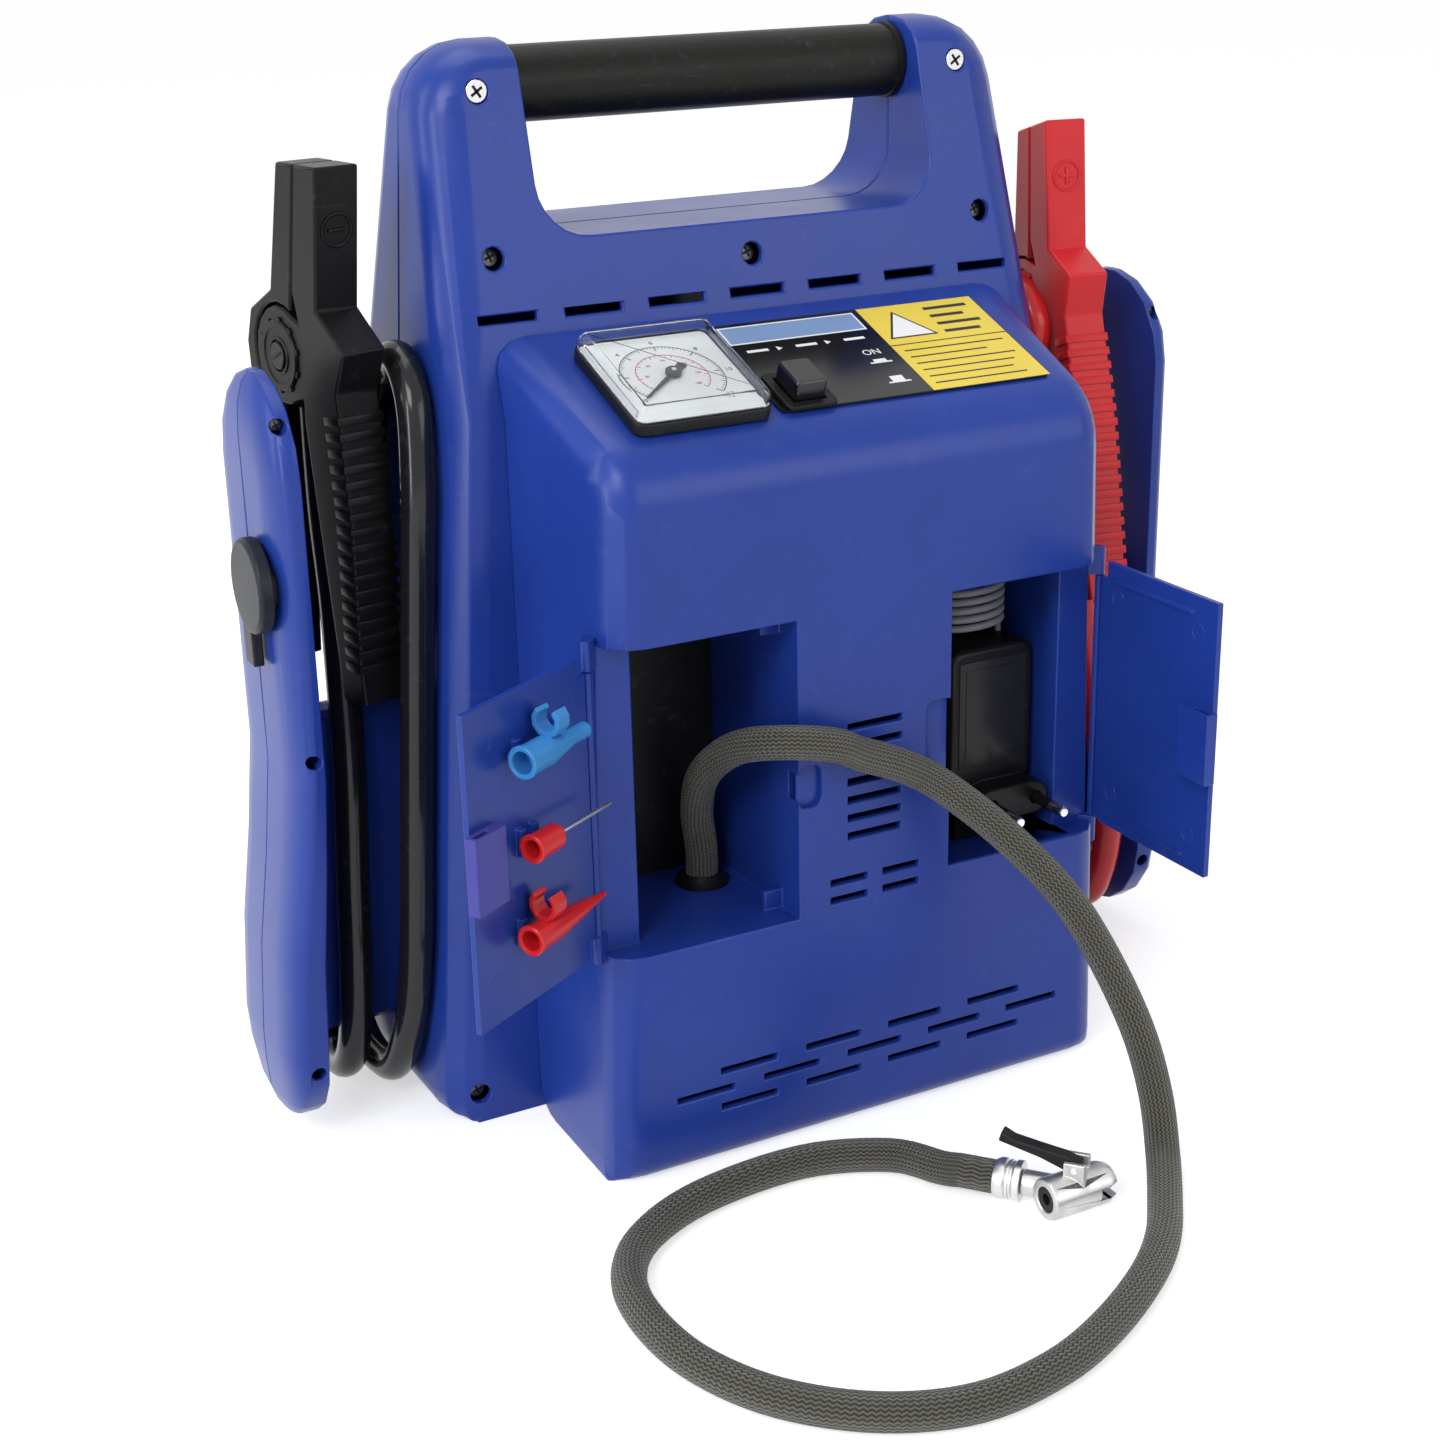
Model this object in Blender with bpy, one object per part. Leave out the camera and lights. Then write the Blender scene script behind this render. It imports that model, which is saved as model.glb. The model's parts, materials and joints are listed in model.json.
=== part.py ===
"""Portable vehicle jump starter pack with a built-in tyre compressor.

Lengths are in millimetres and are turned into metres by MM when a mesh is made.
X runs to the right, Y runs away from the viewer, Z runs up; the pack stands on z = 0.
"""

import math

import bmesh
import bpy
from mathutils import Matrix, Vector

MM = 0.001
GAP = 0.3            # air left between pieces that touch

# ---- main body: two shells that meet at the parting plane
BODY_HEIGHT = 366.0
BODY_HALF_DEPTH = 46.0
BODY_BASE_HALF = 134.5
BODY_SHOULDER_HALF = 117.0
BODY_SHOULDER_Z = 240.0
BODY_TOP_HALF = 109.0
BODY_TOP_RADIUS = 23.0
BODY_FOOT_RADIUS = 10.0
BODY_EDGE = 14.0
BODY_TOP_EDGE = 9.0
BODY_WALL = 3.0
LEAN_START_Z = 250.0
LEAN = 0.2547        # rearward run per unit of height above LEAN_START_Z

# ---- service box in front of the body
BOX_DEPTH = 66.4
BOX_HEIGHT = 276.0
BOX_BASE_HALF = 100.0
BOX_BACK_HALF = 98.5
BOX_DRAFT = 0.0264
BOX_EDGE = 12.0
BOX_WALL = 3.0
BOX_NOSE_RADIUS = 25.0
BOX_FOOT_RADIUS = 8.0
DECK_ANGLE = math.radians(21.0)
PROFILE_STEPS = 5    # facets in each rounded corner of the side view

TOTAL_DEPTH = BOX_DEPTH + GAP + 2 * BODY_HALF_DEPTH
FRONT_Y = -TOTAL_DEPTH / 2
BOX_BACK_Y = FRONT_Y + BOX_DEPTH
BODY_FRONT_Y = BOX_BACK_Y + GAP
PARTING_Y = BODY_FRONT_Y + BODY_HALF_DEPTH

# ---- hand hole and grip
HOLE_HALF = 75.5
HOLE_FLOOR_Z = BODY_HEIGHT - 61.5
HOLE_RADIUS = 17.0
GRIP_Z = BODY_HEIGHT - 15.0
GRIP_RADIUS = 12.5
TUBE_RADIUS = 9.0
TUBE_WALL = 2.0
TUBE_REACH = 22.0
HANDLE_SCREW_X = 91.0
SCREW_HEAD_RADIUS = 3.7
SCREW_HEAD_HEIGHT = 1.4
SCREW_SHANK_RADIUS = 1.6

# ---- air slots and screw recesses
SLOT_LENGTH = 20.5
SLOT_HEIGHT = 2.9
SLOT_PITCH = 30.6
SLOT_COUNT = 7
SLOT_Z = BODY_HEIGHT - 84.5
RECESS_RADIUS = 3.8
UPPER_RECESS_X = 93.6
UPPER_RECESS_Z = BODY_HEIGHT - 66.0
MIDDLE_RECESS_Z = BODY_HEIGHT - 72.5
LOWER_RECESS_X = 121.0
LOWER_RECESS_Z = 11.0

# ---- compartments and doors
SILL_Z = 84.0
HEAD_Z = 189.0
RIGHT_SILL_Z = 90.0
LEFT_OPEN_X = 28.9
RIGHT_OPEN_X = 30.6
BIN_SIDE_X = 83.0
BIN_WALL = 2.5
BIN_DEPTH = 50.0
HINGE_X = 99.2
HINGE_SETBACK = 10.1     # hinge axis behind the front face
HINGE_RADIUS = 1.7
DOOR_THICKNESS = 2.2
DOOR_LENGTH = 64.0
DOOR_CLEARANCE = 0.5
KNUCKLE_HEIGHT = 6.0
KNUCKLE_CLEAR = 5.6
LEFT_DOOR_OPEN = 149.9
RIGHT_DOOR_OPEN = 90.2
LATCH_Z = 138.0
LATCH_HEIGHT = 25.0
LATCH_LENGTH = 12.5
LATCH_RISE = 4.2
LIP_THICKNESS = 2.2
STOP_WIDTH = 7.0
STOP_DEPTH = 2.4

HINGE_Y = FRONT_Y + HINGE_SETBACK
RECESS_BACK_Y = HINGE_Y + HINGE_RADIUS

# ---- vents
VENT_LENGTH = 21.8
VENT_HEIGHT = 2.5
VENT_PITCH_X = 33.3
VENT_ROW_PITCH = 6.8
VENT_MID_Z = 28.0
CENTRE_VENT_LENGTH = 21.0
CENTRE_VENT_COUNT = 7
CENTRE_VENT_TOP_Z = 148.9
CENTRE_VENT_PITCH = 6.5
SHORT_VENT_LENGTH = 14.6
SHORT_VENT_X = 6.9
SHORT_VENT_Z = 90.8

# ---- deck fittings, in the deck's own frame (u across, v up the slope, w off it)
DECK_REF_Y = FRONT_Y + 35.7
GAUGE_X = -54.0
GAUGE_V = -0.5
GAUGE_WIDTH = 48.5
GAUGE_LENGTH = 50.0
GAUGE_BASE_HEIGHT = 4.6
GAUGE_HEIGHT = 10.5
GAUGE_WALL = 1.5
GAUGE_RADIUS = 4.0
DIAL_THICKNESS = 0.8
NEEDLE_LENGTH = 19.0
NEEDLE_TAIL = 6.5
NEEDLE_HUB_RADIUS = 2.6
NEEDLE_THICKNESS = 0.8
NEEDLE_PIN_RADIUS = 0.8
SWITCH_X = -14.4
SWITCH_V = -13.5
BEZEL_WIDTH = 18.5
BEZEL_LENGTH = 21.0
BEZEL_HEIGHT = 2.6
SWITCH_WIDTH = 14.5
SWITCH_LENGTH = 17.0
SWITCH_DEPTH = 18.0
CAP_WIDTH = 11.4
CAP_LENGTH = 14.0
CAP_HEIGHT = 9.3
CAP_STEM = 10.0
CAP_CLEARANCE = 0.35
LABEL_LEFT = -25.5
LABEL_RIGHT = 78.7
LABEL_FRONT_V = -23.0
LABEL_BACK_V = 30.5
LABEL_THICKNESS = 0.5
LABEL_RADIUS = 3.0

# ---- side wings with the spool between wing and body
WING_BOTTOM_Z = 8.0
WING_TOP_Z = 270.0
WING_FRONT_Y = -10.65
WING_DEPTH = 63.0
WING_INNER_X = 166.8
WING_THICKNESS = 9.6
WING_FLARE = 3.5
WING_EDGE_X = 6.5
WING_EDGE_Y = 18.0
WING_WALL = 2.2
WING_SPLAY_TOP_Z = 150.0
WING_SPLAY_LEFT = 7.5
WING_SPLAY_RIGHT = 2.0
SPOOL_BOTTOM_Z = 25.0
SPOOL_TOP_Z = 148.0
SPOOL_FRONT_Y = 31.5
SPOOL_DEPTH = 16.0
WING_MID_Y = WING_FRONT_Y + WING_DEPTH / 2

# ---- charging socket in the left wing
SOCKET_Z = 203.0
SOCKET_Y = 8.5
SOCKET_RADIUS = 11.0
SOCKET_BORE = 6.0
SOCKET_DEPTH = 7.2
SOCKET_CAP_RADIUS = 15.8
SOCKET_CAP_HEIGHT = 5.2
SOCKET_TAB_LENGTH = 13.0

# ---- clamps: depth runs rearward from the jaw's front face, height is world z
CLAMP_X = 147.3
CLAMP_Y = 11.65
CLAMP_YAW = math.radians(10.2)
CLAMP_WIDTH = 15.8
CLAMP_TOP_Z = 331.6
RED_CLAMP_TOP_Z = 327.7
RED_CLAMP_TILT = math.radians(14.0)
CLAMP_PIVOT_DEPTH = 32.5
CLAMP_PIVOT_Z = 268.7
EAR_RADIUS = 16.5
EAR_THICKNESS = 3.0
BOSS_RADIUS = 12.0
PIVOT_RADIUS = 2.5
RIVET_RADIUS = 4.6
RIVET_HEIGHT = 1.2
SPRING_RADIUS = 5.0
SPRING_WIRE = 0.65
SPRING_TURNS = 3
SPRING_PITCH = 1.9
SPRING_ROOM = 3.9
CHANNEL_HALF = 6.7       # lead channel in the rear handle
CHANNEL_DEPTH = 5.0
JAW_PLATE_THICKNESS = 1.0
JAW_PLATE_WIDTH = 9.0
JAW_PLATE_LENGTH = 30.0

# ---- cables
LEAD_RADIUS = 5.9
LEAD_CLEARANCE = 0.5
HOSE_RADIUS = 5.75
ADAPTOR_LEAD_RADIUS = 1.3
HOSE_END_HEADING = math.radians(-50.0)
HANK_LOOPS = 5
HANK_HALF_X = 13.0
HANK_HALF_Y = 8.5
HANK_PITCH = 3.2
HANK_END_RISE = 5.3
PLUG_RADIUS = 3.6
PLUG_LENGTH = 15.0
PLUG_TIP_RADIUS = 2.75
PLUG_TIP_LENGTH = 8.5
FLOOR_CLEARANCE = 0.1

# ---- inside: battery, compressor, charging board
BATTERY_WIDTH = 181.0
BATTERY_DEPTH = 77.0
BATTERY_HEIGHT = 161.0
TERMINAL_HEIGHT = 6.0
FRAME_WIDTH = BATTERY_WIDTH - 71.0
FRAME_THICKNESS = 3.0
MOTOR_RADIUS = 20.0
MOTOR_LENGTH = 62.0
MOTOR_SHAFT_RADIUS = 1.6
GEAR_MODULE = 1.5
PINION_TEETH = 10
GEAR_TEETH = 30
GEAR_WIDTH = 7.0
GEAR_SHAFT_RADIUS = 3.0
GEAR_WALL_X = 12.0
PUMP_RADIUS = 14.0
PUMP_HEIGHT = 34.0
BOARD_WIDTH = 26.0
BOARD_HEIGHT = 52.0
BOARD_THICKNESS = 2.4

# ---- charger, hose end and nozzles
CHARGER_X = 63.6
CHARGER_WIDTH = 35.6
CHARGER_HEIGHT = 53.0
CHARGER_DEPTH = 30.0
CHARGER_BOTTOM_Z = 105.0
CHARGER_FRONT_Y = -56.6
CHARGER_RADIUS = 5.0
NOSE_WIDTH = 29.0
NOSE_HEIGHT = 12.5
NOSE_Z = 101.5
NOSE_LENGTH = 9.5
PIN_SPACING = 18.6
PIN_RADIUS = 2.0
PIN_LENGTH = 17.0
FERRULE_RADIUS = 7.0
FERRULE_LENGTH = 9.0
CHUCK_RADIUS = 7.2
CHUCK_LENGTH = 25.0
CHUCK_BORE = 4.3
CHUCK_NECK_RADIUS = 4.4
CHUCK_Y = -163.65
LEVER_WIDTH = 5.0
LEVER_LENGTH = 27.0
NOZZLE_OFFSET = 8.0
NOZZLE_RADIUS = 4.3
TUBE_ADAPTOR_Z = 168.6
NEEDLE_ADAPTOR_Z = 139.8
CONE_ADAPTOR_Z = 110.5

COLOURS = {
    "blue": ((0.035, 0.075, 0.36), 0.38, 0.0),
    "black": ((0.012, 0.012, 0.013), 0.55, 0.0),
    "gloss_black": ((0.008, 0.008, 0.009), 0.22, 0.0),
    "red": ((0.62, 0.02, 0.025), 0.42, 0.0),
    "light_blue": ((0.06, 0.28, 0.62), 0.35, 0.0),
    "white": ((0.85, 0.86, 0.86), 0.6, 0.0),
    "grey": ((0.12, 0.125, 0.13), 0.5, 0.0),
    "yellow": ((0.86, 0.68, 0.05), 0.5, 0.0),
    "clear": ((0.85, 0.88, 0.9), 0.08, 0.0),
    "steel": ((0.6, 0.6, 0.62), 0.28, 1.0),
    "chrome": ((0.75, 0.75, 0.77), 0.18, 1.0),
    "copper": ((0.7, 0.3, 0.16), 0.35, 1.0),
    "hose": ((0.05, 0.05, 0.035), 0.7, 0.0),
    "board": ((0.02, 0.16, 0.06), 0.5, 0.0),
    "silver_plastic": ((0.5, 0.53, 0.56), 0.4, 0.0),
}


# ------------------------------------------------------------------ helpers
def clear_scene():
    for item in list(bpy.data.objects):
        bpy.data.objects.remove(item, do_unlink=True)


def material(name, key):
    colour, roughness, metallic = COLOURS[key]
    made = bpy.data.materials.new(name)
    made.use_nodes = True
    shader = made.node_tree.nodes["Principled BSDF"]
    shader.inputs["Base Color"].default_value = (*colour, 1.0)
    shader.inputs["Roughness"].default_value = roughness
    shader.inputs["Metallic"].default_value = metallic
    return made


def link(name, data):
    item = bpy.data.objects.new(name, data)
    bpy.context.scene.collection.objects.link(item)
    return item


def add_part(name, mesh_builder, key):
    """Makes the object NAME from a bmesh in millimetres, with its own material."""
    bmesh.ops.recalc_face_normals(mesh_builder, faces=mesh_builder.faces)
    if mesh_builder.calc_volume(signed=True) < 0:
        bmesh.ops.reverse_faces(mesh_builder, faces=mesh_builder.faces)
    mesh = bpy.data.meshes.new(name)
    mesh_builder.to_mesh(mesh)
    mesh_builder.free()
    mesh.transform(Matrix.Scale(MM, 4))
    mesh.shade_smooth()
    mesh.set_sharp_from_angle(angle=math.radians(32))
    item = link(name, mesh)
    mesh.materials.append(material(name, key))
    return item


def add_tool(name, mesh_builder):
    """A helper solid that only cuts or joins another object."""
    item = add_part(name, mesh_builder, "grey")
    item.hide_render = True
    item.display_type = "WIRE"
    return item


def boolean(target, tool, operation="DIFFERENCE"):
    step = target.modifiers.new(tool.name, "BOOLEAN")
    step.operation = operation
    step.solver = "EXACT"
    step.object = tool


def place(item, location=(0, 0, 0), rotation=(0, 0, 0), parent=None):
    item.location = Vector(location) * MM
    item.rotation_euler = rotation
    if parent:
        item.parent = parent


def empty(name, location, rotation):
    item = link(name, None)
    item.empty_display_size = 0.02
    place(item, location, rotation)
    return item


def ladder_cap(bm, loop, start):
    """Closes a ring with triangles laid level by level from the edge START, START + 1."""
    count = len(loop)
    left, right = start, start + 1
    while (right + 1 - left) % count:
        next_left, next_right = (left - 1) % count, (right + 1) % count
        if loop[next_left].co.z < loop[next_right].co.z:
            bm.faces.new((loop[left], loop[right % count], loop[next_left]))
            left = next_left
        else:
            bm.faces.new((loop[left], loop[right % count], loop[next_right]))
            right = next_right


def join_rings(rings, mesh_builder=None, ladder=None):
    """One closed solid through rings of equal point count, with both ends capped."""
    bm = mesh_builder or bmesh.new()
    loops = [[bm.verts.new(point) for point in ring] for ring in rings]
    count = len(loops[0])
    for one, two in zip(loops, loops[1:]):
        for i in range(count):
            j = (i + 1) % count
            bm.faces.new((one[i], one[j], two[j], two[i]))
    for loop in (loops[0], loops[-1]):
        if ladder is None:
            bm.faces.new(loop)
        else:
            ladder_cap(bm, loop, ladder)
    return bm


def box(low, high, mesh_builder=None):
    (x0, y0, z0), (x1, y1, z1) = low, high
    base = [(x0, y0), (x1, y0), (x1, y1), (x0, y1)]
    return join_rings([[(x, y, z) for x, y in base] for z in (z0, z1)], mesh_builder)


AXES = {"x": lambda a, b, t: (t, a, b), "y": lambda a, b, t: (a, t, b),
        "z": lambda a, b, t: (a, b, t)}


def prism(outline, axis, low, high, mesh_builder=None):
    spot = AXES[axis]
    return join_rings([[spot(a, b, t) for a, b in outline] for t in (low, high)],
                      mesh_builder)


def circle(radius, steps, centre=(0, 0)):
    turn = 2 * math.pi / steps
    return [(centre[0] + radius * math.cos(i * turn), centre[1] + radius * math.sin(i * turn))
            for i in range(steps)]


def lathe(profile, axis="z", steps=20, centre=(0, 0), mesh_builder=None):
    """Turned solid; profile holds (radius, height) pairs from one end to the other."""
    spot = AXES[axis]
    rings = [[spot(a, b, height) for a, b in circle(radius, steps, centre)]
             for radius, height in profile]
    return join_rings(rings, mesh_builder)


def fillet(corners, steps=4):
    """Closed outline through (a, b, radius) corners, each rounded by its radius."""
    points = []
    count = len(corners)
    for i, (a, b, radius) in enumerate(corners):
        here = Vector((a, b))
        if radius <= 0:
            points.append((a, b))
            continue
        before = (Vector(corners[i - 1][:2]) - here).normalized()
        after = (Vector(corners[(i + 1) % count][:2]) - here).normalized()
        half = before.angle(after) / 2
        reach = radius / math.tan(half)
        centre = here + (before + after).normalized() * (radius / math.sin(half))
        start = (here + before * reach) - centre
        end = (here + after * reach) - centre
        sweep = start.angle_signed(end)
        for k in range(steps + 1):
            turn = -sweep * k / steps
            spin = Matrix.Rotation(turn, 2)
            points.append(tuple(centre + spin @ start))
    return points


def rounded_rectangle(width, height, radius, centre=(0, 0), steps=4):
    a, b = width / 2, height / 2
    return fillet([(centre[0] + x, centre[1] + y, radius)
                   for x, y in ((-a, -b), (a, -b), (a, b), (-a, b))], steps)


def outline_normals(outline):
    """Outward unit normals of a counter-clockwise outline, one for each point."""
    normals = []
    count = len(outline)
    for i in range(count):
        before = Vector(outline[i]) - Vector(outline[i - 1])
        after = Vector(outline[(i + 1) % count]) - Vector(outline[i])
        along = (before.normalized() + after.normalized()).normalized()
        normals.append((along.y, -along.x))
    return normals


def arc_steps(count):
    """Pairs (inset share, depth share) along a quarter round, from face to side."""
    for k in range(count + 1):
        angle = math.pi / 2 * k / count
        yield 1 - math.sin(angle), 1 - math.cos(angle)


# ------------------------------------------------------------------ body shells
def body_half_width(z):
    """Half the body's width at height z."""
    if z < BODY_SHOULDER_Z:
        share = z / BODY_SHOULDER_Z
        return BODY_BASE_HALF + (BODY_SHOULDER_HALF - BODY_BASE_HALF) * share
    share = (z - BODY_SHOULDER_Z) / (BODY_HEIGHT - BODY_SHOULDER_Z)
    return BODY_SHOULDER_HALF + (BODY_TOP_HALF - BODY_SHOULDER_HALF) * share


def body_front_y(z):
    return BODY_FRONT_Y + LEAN * max(0.0, z - LEAN_START_Z)


def body_outline(inset):
    top = BODY_HEIGHT - inset
    corners = [
        (-(BODY_BASE_HALF - inset), inset, BODY_FOOT_RADIUS),
        (BODY_BASE_HALF - inset, inset, BODY_FOOT_RADIUS),
        (BODY_SHOULDER_HALF - inset, BODY_SHOULDER_Z, 0),
        (BODY_TOP_HALF - inset, top, BODY_TOP_RADIUS - inset),
        (-(BODY_TOP_HALF - inset), top, BODY_TOP_RADIUS - inset),
        (-(BODY_SHOULDER_HALF - inset), BODY_SHOULDER_Z, 0),
    ]
    return fillet(corners, 5)


def body_half(inset, far_y, side):
    """Front half of the body as a solid, or the rear half where side is -1."""
    outline = body_outline(inset)
    normals = outline_normals(outline)
    edge, top_edge = BODY_EDGE - inset, BODY_TOP_EDGE - inset
    rings = []
    for cut, depth in arc_steps(3):
        ring = []
        for (x, z), (nx, nz) in zip(outline, normals):
            z_in = cut * top_edge * max(nz, 0.0)
            ring.append((x - cut * edge * nx, BODY_FRONT_Y + inset + depth * edge, z - z_in))
        rings.append(ring)
    rings.append([(x, far_y, z) for x, z in outline])
    bm = join_rings(rings)
    bmesh.ops.bisect_plane(bm, geom=bm.verts[:] + bm.edges[:] + bm.faces[:],
                           plane_co=(0, 0, LEAN_START_Z), plane_no=(0, 0, 1))
    for vert in bm.verts:
        if vert.co.y < far_y - 0.01:
            vert.co.y += LEAN * max(0.0, vert.co.z - LEAN_START_Z)
        if side < 0:
            vert.co.y = 2 * PARTING_Y - vert.co.y
    return bm


def hand_hole(grown):
    return fillet([(-HOLE_HALF - grown, BODY_HEIGHT + 20, 0),
                   (-HOLE_HALF - grown, HOLE_FLOOR_Z - grown, HOLE_RADIUS + grown),
                   (HOLE_HALF + grown, HOLE_FLOOR_Z - grown, HOLE_RADIUS + grown),
                   (HOLE_HALF + grown, BODY_HEIGHT + 20, 0)], 6)


def tube_line(radius, reach, mesh_builder=None):
    return lathe([(radius, -reach), (radius, reach)], "x", 20, (PARTING_Y, GRIP_Z),
                 mesh_builder)


def make_body_shell(name, side):
    """One half of the main body: a hollow shell open at the parting plane."""
    meet_y = PARTING_Y - GAP / 2
    shell = add_part(name, body_half(0.0, meet_y, side), "blue")
    cavity = add_tool(name + "_cavity", body_half(BODY_WALL, PARTING_Y + 2, side))
    tunnel = add_tool(name + "_tunnel", prism(hand_hole(BODY_WALL), "y", FRONT_Y - 40,
                                              -FRONT_Y + 40))
    boolean(cavity, tunnel)
    hole = add_tool(name + "_hole", prism(hand_hole(0.0), "y", FRONT_Y - 50, -FRONT_Y + 50))
    seat = add_tool(name + "_tube_seat", tube_line(TUBE_RADIUS + GAP, tube_reach() + GAP))
    for tool in (cavity, hole, seat):
        boolean(shell, tool)
    return shell


def tube_reach():
    return HOLE_HALF + TUBE_REACH


def slot_row():
    bm = bmesh.new()
    for i in range(SLOT_COUNT):
        x = (i - (SLOT_COUNT - 1) / 2) * SLOT_PITCH
        box((x - SLOT_LENGTH / 2, BODY_FRONT_Y - 5, SLOT_Z - SLOT_HEIGHT / 2),
            (x + SLOT_LENGTH / 2, BODY_FRONT_Y + 20, SLOT_Z + SLOT_HEIGHT / 2), bm)
    return bm


def recess_holes():
    bm = bmesh.new()
    spots = [(0, MIDDLE_RECESS_Z)]
    for side in (-1, 1):
        spots += [(side * UPPER_RECESS_X, UPPER_RECESS_Z), (side * LOWER_RECESS_X, LOWER_RECESS_Z)]
    for x, z in spots:
        y = body_front_y(z)
        lathe([(RECESS_RADIUS, y - 10), (RECESS_RADIUS, y + 8)], "y", 12, (x, z), bm)
    return bm


def handle_screw_line(head_gap, shank_gap, side, far_y):
    """Profile of a handle screw, or of its recess where the gaps are above zero."""
    face = body_front_y(GRIP_Z)
    seat = face + SCREW_HEAD_HEIGHT + 0.3
    start = face - 6 if head_gap > 0 else seat - SCREW_HEAD_HEIGHT
    return lathe([(SCREW_HEAD_RADIUS + head_gap, start),
                  (SCREW_HEAD_RADIUS + head_gap, seat + head_gap),
                  (SCREW_SHANK_RADIUS + shank_gap, seat + head_gap + 0.01),
                  (SCREW_SHANK_RADIUS + shank_gap, far_y)], "y", 16,
                 (side * HANDLE_SCREW_X, GRIP_Z))


def make_body():
    front = make_body_shell("service_shell", 1)
    boolean(front, add_tool("air_slots", slot_row()))
    boolean(front, add_tool("screw_recesses", recess_holes()))
    for side, word in ((-1, "left"), (1, "right")):
        well = add_tool(word + "_screw_well",
                        handle_screw_line(GAP, GAP, side, PARTING_Y - TUBE_RADIUS + TUBE_WALL + 3))
        boolean(front, well)
        add_part(word + "_handle_screw",
                 handle_screw_line(0.0, 0.0, side, PARTING_Y - TUBE_RADIUS + TUBE_WALL + 1.5),
                 "chrome")
    make_body_shell("plain_shell", -1)
    grip = add_part("handle_grip", tube_line(GRIP_RADIUS, HOLE_HALF - GAP), "black")
    boolean(grip, add_tool("grip_bore", tube_line(TUBE_RADIUS + GAP, HOLE_HALF + 5)))
    tube = add_part("handle_tube", tube_line(TUBE_RADIUS, tube_reach()), "steel")
    boolean(tube, add_tool("tube_bore", tube_line(TUBE_RADIUS - TUBE_WALL, tube_reach() + 5)))
    for side in (-1, 1):
        x = side * HANDLE_SCREW_X
        hole = lathe([(SCREW_SHANK_RADIUS + GAP, PARTING_Y - TUBE_RADIUS - 4),
                      (SCREW_SHANK_RADIUS + GAP, PARTING_Y)], "y", 12, (x, GRIP_Z))
        boolean(tube, add_tool("tube_screw_hole_%d" % side, hole))


# ------------------------------------------------------------------ service box
def deck_z(y):
    """Height of the sloping deck above the point y."""
    back_y = body_front_y(BOX_HEIGHT) - GAP
    return BOX_HEIGHT - (back_y - y) * math.tan(DECK_ANGLE)


def levels(low, high, count):
    return [low + (high - low) * k / (count + 1) for k in range(1, count + 1)]


def box_profile(inset, back_extra):
    """Side view of the service box, counter-clockwise in (y, z)."""
    back_top = body_front_y(BOX_HEIGHT) - GAP
    drop = inset / math.cos(DECK_ANGLE)
    front, back = FRONT_Y + inset, BOX_BACK_Y + back_extra
    top_z = BOX_HEIGHT - drop + back_extra * math.tan(DECK_ANGLE)
    back_foot = BOX_FOOT_RADIUS + 3 if back_extra == 0 else 1.0
    points = fillet([(front, inset, BOX_FOOT_RADIUS - inset), (back, inset, back_foot),
                     (back, LEAN_START_Z, 0), (back_top + back_extra, top_z, 0),
                     (front, deck_z(front) - drop, BOX_NOSE_RADIUS - inset)], PROFILE_STEPS)
    foot = 2 * (PROFILE_STEPS + 1)
    rise = [(back, z) for z in levels(points[foot - 1][1], LEAN_START_Z, 4)]
    fall = [(front, z) for z in levels(points[-1][1], points[0][1], 4)]
    return points[:foot] + rise + points[foot:] + fall


def box_half_width(y, z):
    share = (y - FRONT_Y) / BOX_DEPTH
    front = BOX_BASE_HALF - BOX_DRAFT * z
    return front + (BOX_BACK_HALF - front) * min(1.0, max(0.0, share))


def box_solid(inset, back_extra):
    profile = box_profile(inset, back_extra)
    normals = outline_normals(profile)
    edge = BOX_EDGE - inset
    rings = []
    for side in (-1, 1):
        part = []
        for cut, depth in arc_steps(3):
            ring = []
            for (y, z), (ny, nz) in zip(profile, normals):
                y_in = cut * edge * min(ny, 0.0)
                z_in = cut * edge * max(nz, 0.0)
                x = side * (box_half_width(y, z) - inset - depth * edge)
                back = body_front_y(z - z_in) - GAP + back_extra
                ring.append((x, min(y - y_in, back), z - z_in))
            part.append(ring)
        # depth counts from the side face, so the quarter round is read the other way
        part = part if side < 0 else part[::-1]
        rings += part
    return join_rings(rings, ladder=PROFILE_STEPS)


def opening_block(side, open_x, low_z, grown=0.0):
    """Space of a door's recess and the bin behind it, or of their walls where grown."""
    back = FRONT_Y + HINGE_SETBACK + BIN_DEPTH
    outline = [(open_x - grown, FRONT_Y - 20), (HINGE_X + 40, FRONT_Y - 20),
               (HINGE_X + 40, RECESS_BACK_Y + grown), (BIN_SIDE_X + grown, RECESS_BACK_Y + grown),
               (BIN_SIDE_X + grown, back + grown), (open_x - grown, back + grown)]
    return prism([(side * x, y) for x, y in outline], "z", low_z - grown, HEAD_Z + grown)


def sunken_floor():
    """Right-hand bin below the door's sill, behind a lip."""
    back = FRONT_Y + HINGE_SETBACK + BIN_DEPTH
    return box((RIGHT_OPEN_X + 0.2, FRONT_Y + LIP_THICKNESS, SILL_Z),
               (BIN_SIDE_X - 0.2, back - 0.2, RIGHT_SILL_Z + 4))


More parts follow.
